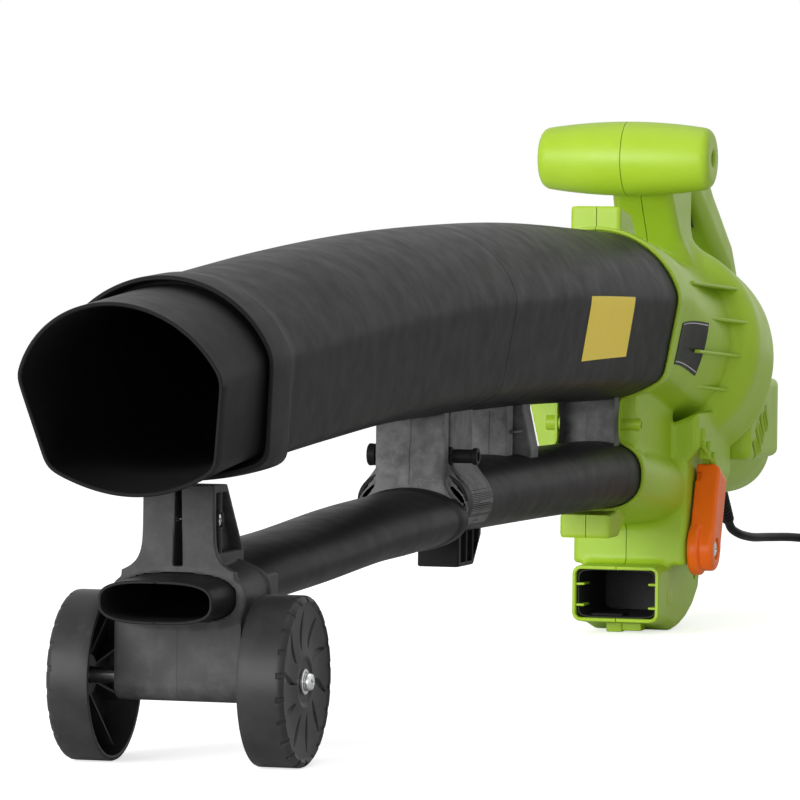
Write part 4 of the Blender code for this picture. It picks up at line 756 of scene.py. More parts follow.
def make_hood_fins(green):
    """Raised fins between the louvres, and three short ones on a slanted bar above the lever."""
    louvre_fins = ((0.2610, 0.1395, 0.0115), (0.2480, 0.1315, 0.0110), (0.2372, 0.1227, 0.0080))
    for number, (fin_y, fin_z, reach) in enumerate(louvre_fins):
        share = np.linspace(-1.0, 1.0, 15)
        y, z = fin_y - reach * SLANT * share, fin_z + reach * SLANT * share
        surface = np.interp(y, *PANEL_SIDE)
        lift = 0.0010 * (1.0 - share**4)
        for side, label in ((-1.0, "left"), (1.0, "right")):
            across = np.array((-0.0010, -0.0009, 0.0, 0.0009, 0.0010))
            out = np.array((-0.0030, 0.0, 0.0004, 0.0, -0.0030))
            x = side * (surface[:, None] + np.where(out > -0.001, lift[:, None] + out, out))
            rings = np.stack([x, y[:, None] + across * SLANT, z[:, None] + across * SLANT], axis=-1)
            skin(f"louvre_fin_{label}_{number + 1}", rings, green)
    guard_fins = ((0.1080, 0.1305, 0.0080), (0.1180, 0.1225, 0.0070), (0.1270, 0.1160, 0.0060))
    for number, (fin_y, fin_z, tall) in enumerate(guard_fins):
        rings = rounded_block((0.0455, fin_y, fin_z - 0.0050),
                              (0.0520 + 0.0015 * number, fin_y + 0.0018, fin_z + tall), 0.0006)
        skin(f"guard_fin_{number + 1}", rings, green)
    ends = np.array(((0.0490, 0.1060, 0.1290), (0.0530, 0.1320, 0.1120)))
    path = ends[0] + (ends[1] - ends[0]) * np.linspace(0.0, 1.0, 6)[:, None]
    skin("guard_bar", tube_along(path, 0.0015, 12), green)


def make_gussets(green):
    """Thin plates from the adaptor's flank to the drum: a flat outline with a rounded free edge."""
    for number, (height, drop, front, front_reach, rear, rear_reach) in enumerate(GUSSETS):
        share = np.linspace(0.0, 1.0, 25)
        y = front + (rear - front) * share
        outer = front_reach + (rear_reach - front_reach) * share**1.1
        middle = height - drop * share
        lift = np.array((-1.0, -0.9, 0.0, 0.9, 1.0)) * 0.0010
        tuck = np.array((0.0010, 0.0003, 0.0, 0.0003, 0.0010))
        for side, label in ((-1.0, "left"), (1.0, "right")):
            rim = np.stack([side * (outer[:, None] - tuck), y[:, None] + 0.0 * tuck, middle[:, None] + lift],
                           axis=-1)
            root = np.stack([side * np.full((25, 2), 0.036), y[:, None].repeat(2, 1),
                             middle[:, None] + np.array((0.0010, -0.0010))], axis=-1)
            skin(f"gusset_{label}_{number + 1}", np.concatenate([rim, root], axis=1), green)


def make_label(yellow):
    """A blank sticker on the suction tube's flank: a patch of the tube's own surface lifted a little."""
    across = np.linspace(0.0, 1.0, 25)
    down = np.linspace(0.0, 1.0, 21)
    corners = np.array((((-0.2340, 194.0), (-0.2320, 175.0)), ((-0.1200, 194.0), (-0.1175, 176.0))))
    place = (corners[0, 0] * (1.0 - across)[:, None, None] * (1.0 - down)[None, :, None]
             + corners[0, 1] * (1.0 - across)[:, None, None] * down[None, :, None]
             + corners[1, 0] * across[:, None, None] * (1.0 - down)[None, :, None]
             + corners[1, 1] * across[:, None, None] * down[None, :, None])
    sheets = []
    for offset in (0.00022, -0.00060):
        rings = suction_rings(place[..., 0].reshape(-1), offset)
        rings = np.concatenate([rings, rings[:, :1]], axis=1)
        low = np.floor(place[..., 1].reshape(-1)).astype(int).clip(0, rings.shape[1] - 2)
        part = (place[..., 1].reshape(-1) - low)[:, None]
        row = np.arange(len(low))
        sheets.append((rings[row, low] * (1.0 - part) + rings[row, low + 1] * part).reshape(25, 21, 3))
    skin("flank_label", np.concatenate([sheets[0], sheets[1][:, ::-1]], axis=1), yellow)


def make_badge(black, pale):
    """A blank plate on the adaptor's flank with a pale line along its upper and lower edge."""
    def patch(name, low, high, left, right, lift, finish):
        across = (left + (right - left) * np.linspace(0.0, 1.0, 25))[:, None]
        down = (low + (high - low) * np.linspace(0.0, 1.0, 15))[None, :]
        top_y, top_angle = 0.0260 + 0.0615 * across, math.radians(-4.75) + math.radians(10.25) * across
        low_y, low_angle = 0.0245 + 0.0575 * across, math.radians(-33.25) + math.radians(1.00) * across
        y, angle = top_y + (low_y - top_y) * down, top_angle + (low_angle - top_angle) * down
        sheets = [adaptor_surface(y, angle, lift), adaptor_surface(y, angle, -0.0010)[:, ::-1]]
        skin(name, np.concatenate(sheets, axis=1), finish)

    patch("flank_badge", 0.0, 1.0, 0.0, 1.0, 0.00045, black)
    patch("badge_upper_line", 0.035, 0.055, 0.03, 0.97, 0.00055, pale)
    patch("badge_lower_line", 0.925, 0.945, 0.03, 0.97, 0.00055, pale)


def cross_head(name, node, side, radius, place, height, finish, body=MACHINE, shank=0.0020, length=0.0120):
    """A pan head screw: a domed disc by radius and angle, sunk by a cross, on a plain shank."""
    reach = np.concatenate([[0.00002], np.linspace(0.03, 1.0, 26)]) * radius
    turn = np.linspace(0.0, 2.0 * np.pi, 96, endpoint=False)
    r = reach[:, None] + 0.0 * turn
    dome = height * (1.0 - 0.16 * (r / radius)**2 - 0.42 * np.clip((r / radius - 0.78) / 0.22, 0.0, 1.0)**2)
    u, v = np.abs(r * np.cos(turn + 0.4)), np.abs(r * np.sin(turn + 0.4))
    arm = np.minimum(np.maximum(u - 0.62 * radius, v - 0.13 * radius),
                     np.maximum(v - 0.62 * radius, u - 0.13 * radius))
    rows = [np.stack([dome - 0.55 * height * np.clip(-arm / (0.05 * radius), 0.0, 1.0), r], axis=-1)]
    edge = ((0.18 * height, radius), (0.0, 0.98 * radius), (0.0, shank), (-length, shank), (-length, 0.00002))
    for depth, wide in edge:
        rows.append(np.stack([depth + 0.0 * turn, wide + 0.0 * turn], axis=-1)[None])
    grid = np.concatenate(rows)
    points = np.stack([place[0] + side * grid[..., 0], place[1] + grid[..., 1] * np.cos(turn),
                       place[2] + grid[..., 1] * np.sin(turn)], axis=-1)
    skin(name, points, finish, body=body, stands_for=[node], sharp=30.0)


def make_screws(zinc):
    """Every screw whose head shows, and the flap's rod."""
    for number, (y, z, seat) in enumerate(SCREW_POSTS[:4]):
        cross_head(f"case_screw_{number + 1}", f"housing_screw_{number + 1}", 1.0, 0.0038,
                   (seat + 0.0003, y, z), 0.0030, zinc,
                   length=0.0140 if number else 0.060)
    cross_head("neck_case_screw", "neck_screw", 1.0, 0.0024, (0.0289, 0.0042, 0.1437), 0.0016, zinc,
               length=0.030)
    cross_head("lever_pivot_screw", "lever_screw", 1.0, 0.0062, (0.0562, *LEVER_AXIS), 0.0024, zinc,
               body="diverter",
               shank=0.0018, length=0.0010)
    rod = lathe(((-0.0350, 0.00002), (-0.0350, 0.0036), (-0.0346, 0.0040), (0.0556, 0.0040),
                 (0.0556, 0.00002)), 48,
                (0.0, *LEVER_AXIS))
    skin("flap_rod", rod, zinc, body="diverter", stands_for=["flap_shaft"], slot="bare_steel", sharp=30.0)
    for number, (y, z, _, seat, length) in enumerate(CARRIER_SCREWS):
        cross_head(f"carrier_case_screw_{number + 1}", f"carrier_screw_{number + 1}", 1.0, 0.0035,
                   (seat, y, z), 0.0029, zinc,
                   length=length)
    for side, label in ((-1.0, "left"), (1.0, "right")):
        outer = WHEEL_SPANS[label][1]
        cross_head(f"wheel_screw_{label}", f"axle_screw_{label}", side, 0.0045,
                   (side * (outer - 0.0011), *AXLE), 0.0036, zinc)


# Tubes


def make_suction_tubes(satin):
    """The shield section carried along the tube, out over the surface and back along the bore."""
    joint = SUCTION_JOINT
    body = np.linspace(-0.0008, joint + 0.0003, 44)
    step = -(SHELL_WALL + 0.0003)
    rings = [suction_rings((0.018, 0.0002), step), suction_rings((-0.0003,), -0.0005), suction_rings(body),
             suction_rings((joint + 0.0003,), -0.0006), suction_rings(body[::-1][1:], -TUBE_WALL),
             suction_rings((-0.004, 0.018), step - TUBE_WALL)]
    skin("suction_tube_rear", np.concatenate(rings), satin, closed=True, stands_for=["suction_tube_upper"])
    body = np.linspace(joint - 0.0004, -0.853, 48)
    collar = np.array((
        (-0.8545, 0.2420, 0.1425, 0.0555, 0.900), (-0.8562, 0.2430, 0.1408, 0.0562, 0.940),
        (-0.8580, 0.2434, 0.1402, 0.0565, 0.965), (-0.8600, 0.2433, 0.1402, 0.0566, 0.965),
        (-0.8860, 0.2418, 0.1405, 0.0567, 0.965), (-0.8884, 0.2415, 0.1408, 0.0565, 0.965),
        (-0.8892, 0.2407, 0.1414, 0.0558, 0.965), (-0.8890, 0.2396, 0.1424, 0.0548, 0.960),
        (-0.8870, 0.2389, 0.1430, 0.0542, 0.955), (-0.8760, 0.2388, 0.1432, 0.0540, 0.950),
        (-0.8752, 0.2374, 0.1444, 0.0530, 0.945), (-0.8770, 0.2366, 0.1448, 0.0526, 0.940),
        (-0.8895, 0.2360, 0.1444, 0.0524, 0.930),
    ))
    share = np.linspace(0.0, 1.0, 9)[1:]
    mouth = collar[-1] + (np.array((-0.9480, 0.2290, 0.1350, 0.0513, 0.825)) - collar[-1]) * share[:, None]
    lean = MOUTH_SHEAR * share
    lip = mouth[-1] + np.array(((-0.0006, -0.0004, 0.0004, -0.0004, 0.0),
                                (-0.0006, -0.0014, 0.0014, -0.0014, 0.0),
                                (0.0000, -0.0019, 0.0019, -0.0019, 0.0)))
    bore = mouth[::-1][1:] + np.array((0.0, -TUBE_WALL, TUBE_WALL, -TUBE_WALL, 0.0))
    step = -(TUBE_WALL + 0.0003)
    spigot = joint + 0.018
    rings = [suction_rings((spigot,), step), suction_rings((joint + 0.0004,), step),
             suction_rings((joint + 0.0001,), -0.0006),
             suction_rings(body), shield(*collar.T), shield(*mouth.T, shear=lean[:, None]),
             shield(*lip.T, shear=MOUTH_SHEAR), shield(*bore.T, shear=lean[::-1][1:, None]),
             suction_rings(body[::-1][1:], step - TUBE_WALL),
             suction_rings((joint, spigot), step - TUBE_WALL)]
    skin("suction_tube_front", np.concatenate(rings), satin, closed=True, stands_for=["suction_tube_lower"])


def make_blower_tubes(satin):
    """The oval section carried along each tube, out over the surface and back along the bore; the front
    tube starts with a bell, and its nozzle has a notch on the parting line above and below."""
    body = np.linspace(0.030, BLOWER_JOINT + 0.0003, 60)
    rings = [blower_rings(BLOWER_REAR, body), blower_rings(BLOWER_REAR, body[::-1], -TUBE_WALL)]
    skin("blower_tube_rear", np.concatenate(rings), satin, closed=True, stands_for=["blower_tube_upper"])
    joint = BLOWER_JOINT
    bell = blower_rings(BLOWER_FRONT, (joint - 0.0004, joint - 0.0012, joint - 0.010, joint - 0.014,
                                       joint - 0.017),
                        (0.0004, 0.0012, 0.0012, 0.0008, 0.0))
    body = np.linspace(joint - 0.020, -0.8965, 70)
    lip = blower_rings(BLOWER_FRONT, (-0.897, -0.897, -0.8965), (-0.0004, -0.0013, -0.0016))
    lip[..., 1] += 0.0009 * np.exp(-(lip[..., 0] / 0.0007)**2)
    rings = [bell, blower_rings(BLOWER_FRONT, body), lip, blower_rings(BLOWER_FRONT, (-0.880,), -TUBE_WALL),
             blower_rings(BLOWER_FRONT, body[::-1][4:], -TUBE_WALL),
             blower_rings(BLOWER_FRONT, (joint - 0.006, joint), (-TUBE_WALL, -0.0008))]
    skin("blower_tube_front", np.concatenate(rings), satin, closed=True, stands_for=["blower_tube_lower"])


BLOWER_PLACES = np.linspace(-0.90, 0.03, 400)
BLOWER_SIZES = np.where((BLOWER_PLACES > BLOWER_JOINT)[:, None], eased(BLOWER_REAR, BLOWER_PLACES),
                        eased(BLOWER_FRONT, BLOWER_PLACES))


def blower_field(x, y, z, grow=0.0):
    centre, half, height, power = read(y, BLOWER_PLACES, BLOWER_SIZES)
    return oval_field(x, z, centre, half + grow, height + grow, power)


def tube_fields(x, y, z):
    """Distances to the suction and the blower tube's outer surfaces, read from their stations."""
    places = np.linspace(-0.90, 0.03, 160)
    suction = eased(SUCTION_STATIONS, places)
    top, bottom, half, low = read(y, places, suction)
    across = np.clip(np.abs(x) / (low * half), 0.0, 1.2)
    floor = bottom + (FLOOR_SAG - REACH_GAIN * (low - USUAL_LOW)) * (top - bottom) * across**2
    return 0.95 * (floor - z), blower_field(x, y, z)


def between_tubes(form, x, y, z):
    """Keeps what lies under the suction tube's floor and outside the blower tube, a hair into both walls."""
    below, outside = tube_fields(x, y, z)
    return np.maximum(np.maximum(form, -below - 0.0010), -outside - 0.0010)


def rear_web_field(x, y, z):
    """A block by the housing, waisted between the tubes."""
    waist = 0.0010 * np.cos(np.clip((z - 0.144) / 0.012, -1.0, 1.0) * 0.5 * np.pi)
    return between_tubes(meet(np.abs(x) - 0.0188 + waist, slab(y, -0.0205, -0.0040), 0.0010), x, y, z)


def front_web_field(x, y, z):
    """A narrow block, a core behind it, a wide block at the back whose sides lean, and a level
    rib between them."""
    block = meet(np.abs(x) - 0.0110, slab(y, -0.2680, -0.2520), 0.0010)
    core = meet(np.abs(x) - 0.0060, slab(y, -0.2600, -0.2220), 0.0010)
    side = np.interp(z, (0.1360, 0.1600), (0.0192, 0.0140))
    plate = meet(np.abs(x) - side, slab(y, -0.2400, -0.2210), 0.0010)
    rib = meet(meet(np.abs(x) - 0.0140, slab(y, -0.2600, -0.2220), 0.0005), slab(z, 0.1457, 0.1473), 0.0005)
    return between_tubes(np.minimum(np.minimum(block, core), np.minimum(plate, rib)), x, y, z)


def joint_web_field(x, y, z):
    """The block in two parts with a groove where the tube sections meet, each filleted on to its tube."""
    _, tube = tube_fields(x, y, z)
    block = meet(blend(np.abs(x) - 0.0205, tube, 0.0090), slab(y, -0.4440, -0.4340), 0.0012)
    core = meet(np.abs(x) - 0.0130, slab(y, -0.4400, -0.3900), 0.0010)
    plate = meet(blend(np.abs(x) - 0.0200, tube, 0.0110), slab(y, -0.4280, -0.3795), 0.0015)
    return between_tubes(np.minimum(np.minimum(block, core), plate), x, y, z)


def bracket_field(x, y, z):
    """The bag hook's bracket under the joint, with a lip in front and pockets between its ribs."""
    outline = ((-0.381, 0.071), (-0.381, 0.095), (-0.330, 0.097), (-0.330, 0.088), (-0.347, 0.071))
    form = meet(outline_field(outline, y, z), np.abs(x) - 0.0125, 0.0012)
    for low, high in ((-0.3760, -0.3640), (-0.3615, -0.3500), (-0.3475, -0.3360)):
        pocket = meet(meet(slab(y, low, high), 0.0095 - np.abs(x), 0.0006),
                      0.0735 - z + 0.7 * np.maximum(y + 0.350, 0.0), 0.0006)
        form = meet(form, -pocket, 0.0004)
    _, outside = tube_fields(x, y, z)
    return np.maximum(form, -outside - 0.0010)


def parting_bead(name, finish, y, low, high, wobble, seed):
    """A thin ridge of flash up a web's front: a rounded strip whose middle wanders a little."""
    rng = np.random.default_rng(seed)
    z = np.linspace(low, high, 40)
    drift = wobble * np.interp(z, np.linspace(low, high, 12), rng.normal(0.0, 1.0, 12))
    wide = 0.00035 + 0.00012 * np.interp(z, np.linspace(low, high, 14), rng.normal(0.0, 1.0, 14))
    turn = np.linspace(0.0, 2.0 * np.pi, 10, endpoint=False)
    x = drift[:, None] + np.abs(wide[:, None]) * np.cos(turn)
    skin(name, np.stack([x, y + 0.00035 * np.sin(turn) + 0.0 * x, z[:, None] + 0.0 * x], axis=-1), finish)


def make_webs(matte, satin):
    forms = (("rear_web", rear_web_field, (-0.022, -0.020, 0.120), (0.022, -0.001, 0.172), 0.0009, matte),
             ("front_web", front_web_field, (-0.024, -0.272, 0.118), (0.024, -0.217, 0.174), 0.0009, matte),
             ("joint_web", joint_web_field, (-0.038, -0.448, 0.098), (0.038, -0.3755, 0.178), 0.0010, matte),
             ("hook_bracket", bracket_field, (-0.016, -0.385, 0.067), (0.016, -0.326, 0.102), 0.0008, satin))
    for name, field, low, high, step, finish in forms:
        points, faces = moulded(field, low, high, step)
        piece(name, world(points), faces, finish, sharp=40.0)
    parting_bead("rear_web_flash", matte, -0.0206, 0.1345, 0.1575, 0.00010, 3)
    parting_bead("front_web_flash", matte, -0.2681, 0.1335, 0.1590, 0.00008, 5)
    parting_bead("joint_web_flash", matte, -0.4441, 0.1215, 0.1605, 0.00035, 8)


def make_joint_pin(satin):
    """The pin through the joint web: a flared end on the right, a broad flat head on the left."""
    right = lathe(((0.0130, 0.0010), (0.0130, 0.0052), (0.0215, 0.0052), (0.0222, 0.0040), (0.0335, 0.0040),
                   (0.0343, 0.0048),
                   (0.0366, 0.0050), (0.0370, 0.0046), (0.0370, 0.0030), (0.0352, 0.0027), (0.0352, 0.0002)),
                  48, JOINT_PIN)
    skin("joint_pin", right, satin, stands_for=["joint_bolt"], sharp=30.0)
    left = lathe(((-0.0130, 0.0010), (-0.0130, 0.0050), (-0.0232, 0.0050), (-0.0236, 0.0062),
                  (-0.0276, 0.0065), (-0.0282, 0.0060),
                  (-0.0282, 0.0002)), 48, JOINT_PIN)
    skin("joint_pin_head", left, satin, sharp=30.0)


def lathe(profile, count, centre):
    """Turns (distance, radius) points about a line along X through centre (x, y, z)."""
    profile = np.asarray(profile, float)
    turn = np.linspace(0.0, 2.0 * np.pi, count, endpoint=False)
    reach = profile[:, 1][:, None]
    x = centre[0] + profile[:, 0][:, None] + 0.0 * turn
    return np.stack([x, centre[1] + reach * np.cos(turn), centre[2] + reach * np.sin(turn)], axis=-1)


# Carrier and wheels


def carrier_field(x, y, z):
    """Box, collar and riser in one form: bored for the tube, slotted, pocketed and drilled."""
    tube = blower_field(x, y, z)
    box = meet(meet(slab(y, CARRIER_FRONT, -0.8380), 0.0312 - z, 0.0078), z - 0.0850, 0.0010)
    box = meet(box, np.abs(x) - 0.0330, 0.0010)
    sleeve = np.minimum(meet(tube - 0.0030, slab(y, CARRIER_FRONT, -0.8215), 0.0010),
                        meet(tube - 0.0038, slab(y, -0.8255, -0.8215), 0.0006))
    lug = meet(meet(slab(np.abs(x), 0.0250, 0.0342), slab(y, -0.8240, -0.8050), 0.0010),
               slab(z, 0.0760, 0.0930), 0.0010)
    collar = np.minimum(sleeve, lug)
    depth = np.interp(z, (0.104, 0.1385), (0.0500, 0.0220))
    riser = meet(meet(np.abs(x) - 0.0183, slab(y, CARRIER_FRONT, CARRIER_FRONT + depth), 0.0010),
                 slab(z, 0.0850, 0.1420), 0.0010)
    flare = 0.0184 + 0.0110 * np.exp(-np.maximum(z - 0.0960, 0.0) / 0.0045)
    plate = meet(meet(np.abs(x) - flare, slab(y, -0.8622, -0.8570), 0.0008), slab(z, 0.0850, 0.1420), 0.0010)
    form = blend(blend(box, collar, 0.0035), np.minimum(riser, plate), 0.0012)
    wide = np.interp(z, (0.0995, 0.1385), (0.0023, 0.0015))
    slot = np.maximum(np.maximum(np.abs(x) - wide, y + 0.8460), 0.0985 - z)
    form = meet(form, -slot, 0.0006)
    rear = CARRIER_FRONT + depth - 0.0030
    pocket = np.maximum(np.maximum(np.maximum(-0.8580 - y, y - rear), slab(z, 0.1050, 0.1345)),
                        0.0125 - np.abs(x))
    pocket = np.maximum(pocket, 0.0010 - np.abs(y + 0.8490))
    pocket = np.maximum(pocket, 0.0046 - np.hypot(y + 0.8490, z - 0.1210))
    form = meet(form, -pocket, 0.0005)
    form = np.maximum(form, -(tube - 0.0002))
    for screw_y, screw_z, face, _, _ in CARRIER_SCREWS:
        form = meet(form, -np.maximum(np.hypot(y - screw_y, z - screw_z) - 0.0039, face - x), 0.0004)
    form = meet(form, -(np.hypot(y - AXLE[0], z - AXLE[1]) - 0.0044), 0.0003)
    return np.maximum(form, z - 0.1384)


def make_carrier(matte):
    step = 0.0010
    low, high = (-0.0400, -0.8650, 0.0280), (0.0400, -0.8000, 0.1410)
    whole = moulded_mesh("carrier_form", carrier_field, low, high, step)
    halves_of(whole, "carrier", 0.00006, matte, 45.0)


def wheel_rings(side, inner, outer):
    """A wheel's section carried round its axle: its outer face sinks into curved grooves, and its outer
    edge has notches, both worked out from the angle."""
    face_r = np.linspace(0.0100, 0.0380, 40)
    face_x = outer - 0.0013 - 0.0012 * np.sin(np.pi * np.clip((face_r - 0.0105) / 0.0275, 0.0, 1.0))
    face_x = face_x - 0.0012 * np.clip((0.0125 - face_r) / 0.0020, 0.0, 1.0)
    section = [(inner + 0.0130, 0.0045), (outer - 0.0025, 0.0045), (outer - 0.0025, 0.0098)]
    section += list(zip(face_x, face_r))
    section += [(outer - dx, r) for dx, r in (
        (0.0009, 0.0386), (0.0005, 0.0391), (0.0004, 0.0397), (0.0008, 0.0406), (0.0014, 0.0414),
        (0.0020, 0.0420),
        (0.0028, 0.0424), (0.0040, 0.0425), (0.0060, 0.0425), (0.0100, 0.0425), (0.0150, 0.0425))]
    section += [(inner + dx, r) for dx, r in (
        (0.0060, 0.0425), (0.0009, 0.0425), (0.0002, 0.0422), (0.0000, 0.0416), (0.0000, 0.0404),
        (0.0002, 0.0399),
        (0.0008, 0.0398), (0.0085, 0.0395), (0.0145, 0.0392))]
    section += [(outer - dx, r) for dx, r in ((0.0062, 0.0384), (0.0050, 0.0350), (0.0047, 0.0250),
                                              (0.0047, 0.0140),
                                              (0.0060, 0.0112))]
    section += [(inner + 0.0155, 0.0106), (inner + 0.0132, 0.0100)]
    section = np.array(section)
    turn = np.linspace(0.0, 2.0 * np.pi, 528, endpoint=False)
    x = np.repeat(section[:, 0][:, None], len(turn), 1)
    r = np.repeat(section[:, 1][:, None], len(turn), 1)
    on_face = (section[:, 0][:, None] > outer - 0.0030) & (r > 0.0125) & (r < 0.0382)
    share = np.clip((r - 0.0165) / 0.0190, 0.0, 1.0)
    swing = turn + 0.22 * share
    pitch = 2.0 * np.pi / WHEEL_PETALS
    petal = np.abs((swing * WHEEL_PETALS / (2.0 * np.pi) + 0.5) % 1.0 - 0.5) * pitch * r
    width = 0.0019 * np.sin(np.pi * share)**0.8 + 1e-6
    x = x - on_face * 0.0012 * np.clip(1.0 - (petal / width)**2, 0.0, 1.0)
    notch = np.abs((turn * WHEEL_NOTCHES / (2.0 * np.pi)) % 1.0 - 0.5)
    sunk = np.clip((0.13 - notch) / 0.03, 0.0, 1.0)
    edge = (section[:, 0][:, None] > outer - 0.0034) & (r > 0.0388)
    r = r - edge * 0.0008 * sunk
    x = x - edge * (r > 0.0395) * 0.0007 * sunk
    return np.stack([side * x, AXLE[0] + r * np.cos(turn), AXLE[1] + r * np.sin(turn)], axis=-1)


def make_wheels(rubber_black, zinc):
    """Each wheel with eight ribs inside, and the washer on its hub."""
    for side, label, body in ((-1.0, "left", "wheel_l"), (1.0, "right", "wheel_r")):
        inner, outer = WHEEL_SPANS[label]
        parts = [rings_of(wheel_rings(side, inner, outer), closed=True)]
        for number in range(WHEEL_RIBS):
            angle = 2.0 * np.pi * (number + 0.5) / WHEEL_RIBS
            radial = np.array((0.0, math.cos(angle), math.sin(angle)))
            across = np.array((0.0, -math.sin(angle), math.cos(angle)))
            corners = []
            for reach, depth in ((0.0098, inner + 0.0150), (0.0392, inner + 0.0060), (0.0394, outer - 0.0052),
                                 (0.0098, outer - 0.0050)):
                corners.append([np.array((side * depth, AXLE[0], AXLE[1])) + reach * radial + t * across
                                for t in (-0.0006, 0.0006)])
            corners = np.array(corners).transpose(1, 0, 2)
            parts.append(rings_of(corners))
        points, faces = several(parts)
        piece(f"road_wheel_{label}", world(points), faces, rubber_black, body=body,
              stands_for=[f"wheel_{label}"], sharp=30.0)
        seat = outer - 0.0024
        disc = lathe([(side * (seat + at), radius) for at, radius in (
            (0.0, 0.0047), (0.0, 0.0061), (0.0002, 0.0063), (0.0010, 0.0063), (0.0012, 0.0061),
            (0.0012, 0.0047))], 48,
                     (0.0, *AXLE))
        skin(f"hub_washer_{label}", disc, zinc, closed=True, stands_for=[f"washer_{label}"], sharp=30.0)


# Lever


def lever_field(x, y, z):
    """Hub disc, boss and leaning arm, joined with small fillets, with a pit for the screw's head."""
    off_y, off_z = y - LEVER_AXIS[0], z - LEVER_AXIS[1]
    up = off_y * math.sin(LEVER_LEAN) + off_z * math.cos(LEVER_LEAN)
    across = off_y * math.cos(LEVER_LEAN) - off_z * math.sin(LEVER_LEAN)
    radius = np.hypot(off_y, off_z)
    hub = meet(radius - 0.0180, slab(x, 0.0421, 0.0502), 0.0024)
    boss = meet(radius - 0.0150, slab(x, 0.0470, 0.0592), 0.0034)
    arm = meet(meet(np.abs(across) - 0.0130, -up, 0.0030), 0.0428 - x, 0.0010)
    arm = meet(arm, meet(up - 0.0568, x - 0.0592, 0.0050), 0.0022)
    form = blend(blend(hub, boss, 0.0006), arm, 0.0008)
    pocket = meet(meet(slab(up, 0.0443, 0.0508), x - 0.0462, 0.0005), across + 0.0095, 0.0004)
    form = meet(form, -pocket, 0.0005)
    form = np.maximum(form, -(radius - 0.0043))
    return meet(form, -np.maximum(radius - 0.0074, 0.0560 - x), 0.0004)


def make_lever(orange):
    step = 0.0008
    points, faces = moulded(lever_field, (0.0400, 0.0900, 0.0370), (0.0650, 0.1580, 0.1280), step)
    piece("mode_lever_arm", world(points), faces, orange, body="diverter", stands_for=["mode_lever"],
          sharp=45.0)


# Cord


def tube_along(path, radii, sides):
    """A round tube: circles square to the path, carried from point to point with no twist."""
    path = np.asarray(path, float)
    heading = np.gradient(path, axis=0)
    heading /= np.linalg.norm(heading, axis=1, keepdims=True)
    side = np.cross(heading, (0.0, 0.0, 1.0))
    side /= np.linalg.norm(side, axis=1, keepdims=True)
    lift = np.cross(side, heading)
    turn = np.linspace(0.0, 2.0 * np.pi, sides, endpoint=False)
    radii = np.broadcast_to(radii, len(path))[:, None, None]
    circle = np.cos(turn)[:, None] * side[:, None] + np.sin(turn)[:, None] * lift[:, None]
    return path[:, None] + radii * circle


def run_along(path):
    """Length from a path's start to each of its points."""
    return np.concatenate([[0.0], np.cumsum(np.linalg.norm(np.diff(path, axis=0), axis=1))])


def cord_path():
    """The lead's route: a smooth curve through its chosen points, read at even steps."""
    tip = RELIEF_TIP + CORD_GAP * RELIEF_OUT
    chosen = np.vstack([tip, tip + 0.014 * RELIEF_OUT, CORD_ROUTE])
    chosen = np.vstack([2.0 * chosen[0] - chosen[1], chosen, 2.0 * chosen[-1] - chosen[-2]])
    t = (np.arange(24) / 24.0)[:, None]
    dense = [0.5 * (2.0 * b + (c - a) * t + (2.0 * a - 5.0 * b + 4.0 * c - d) * t**2
                    + (3.0 * b - a - 3.0 * c + d) * t**3)
             for a, b, c, d in zip(chosen, chosen[1:], chosen[2:], chosen[3:])]
    dense = np.vstack(dense + [chosen[-2]])
    run = run_along(dense)
    even = np.linspace(0.0, run[-1], 26)
    return np.stack(read(even, run, dense), axis=-1)


def make_cord(rubber):
    route = cord_path()
    run = run_along(route)
    fine = np.linspace(0.0, run[-1], 140)
    smooth = eased(np.column_stack([run, route]), fine)
    cord = skin("mains_lead", tube_along(smooth, CORD_RADIUS, 20), rubber, stands_for=["mains_cord"])
    section = [(-0.0110, 0.0088), (-0.0108, 0.0090), (-0.0092, 0.0090), (-0.0090, 0.0063), (0.0105, 0.0063),
               (0.0105, 0.0076),
               (0.0108, 0.0078), (0.0137, 0.0078), (0.0140, 0.0076)]
    start, end = 0.0145, RELIEF_LENGTH - 0.0012
    for number in range(RELIEF_RIBS):
        low = start + (end - start) * number / RELIEF_RIBS
        step = (end - start) / RELIEF_RIBS
        wide = 0.0074 - (0.0074 - 0.0046) * (number + 0.5) / RELIEF_RIBS
        section += [(low, wide - 0.0012), (low + 0.25 * step, wide - 0.0012), (low + 0.32 * step, wide),
                    (low + 0.94 * step, wide)]
    section += [(RELIEF_LENGTH - 0.0004, 0.0046), (RELIEF_LENGTH, 0.0042)]
    section = np.array(section)
    rings = tube_along(RELIEF_START + section[:, 0][:, None] * RELIEF_OUT, section[:, 1], 40)
    skin("cord_relief", rings, rubber, stands_for=["strain_relief"])


# Materials


def node(tree, kind, **settings):
    made = tree.nodes.new(kind)
    for name, value in settings.items():
        setattr(made, name, value)
    return made


def group_start(name, inputs, outputs):
    """An empty node group with named sockets, its input node and its output node."""
    tree = bpy.data.node_groups.new(name, "ShaderNodeTree")
    for label, kind, value in inputs:
        socket = tree.interface.new_socket(name=label, in_out="INPUT", socket_type=kind)
        socket.default_value = value
    for label, kind in outputs:
        tree.interface.new_socket(name=label, in_out="OUTPUT", socket_type=kind)
    return tree, node(tree, "NodeGroupInput"), node(tree, "NodeGroupOutput")


def math_node(tree, operation, a, b=None):
    made = node(tree, "ShaderNodeMath", operation=operation)
    for socket, value in zip(made.inputs, (a, b)):
        if value is None:
            continue
        if isinstance(value, (int, float)):
            socket.default_value = value
        else:
            tree.links.new(value, socket)
    return made.outputs[0]


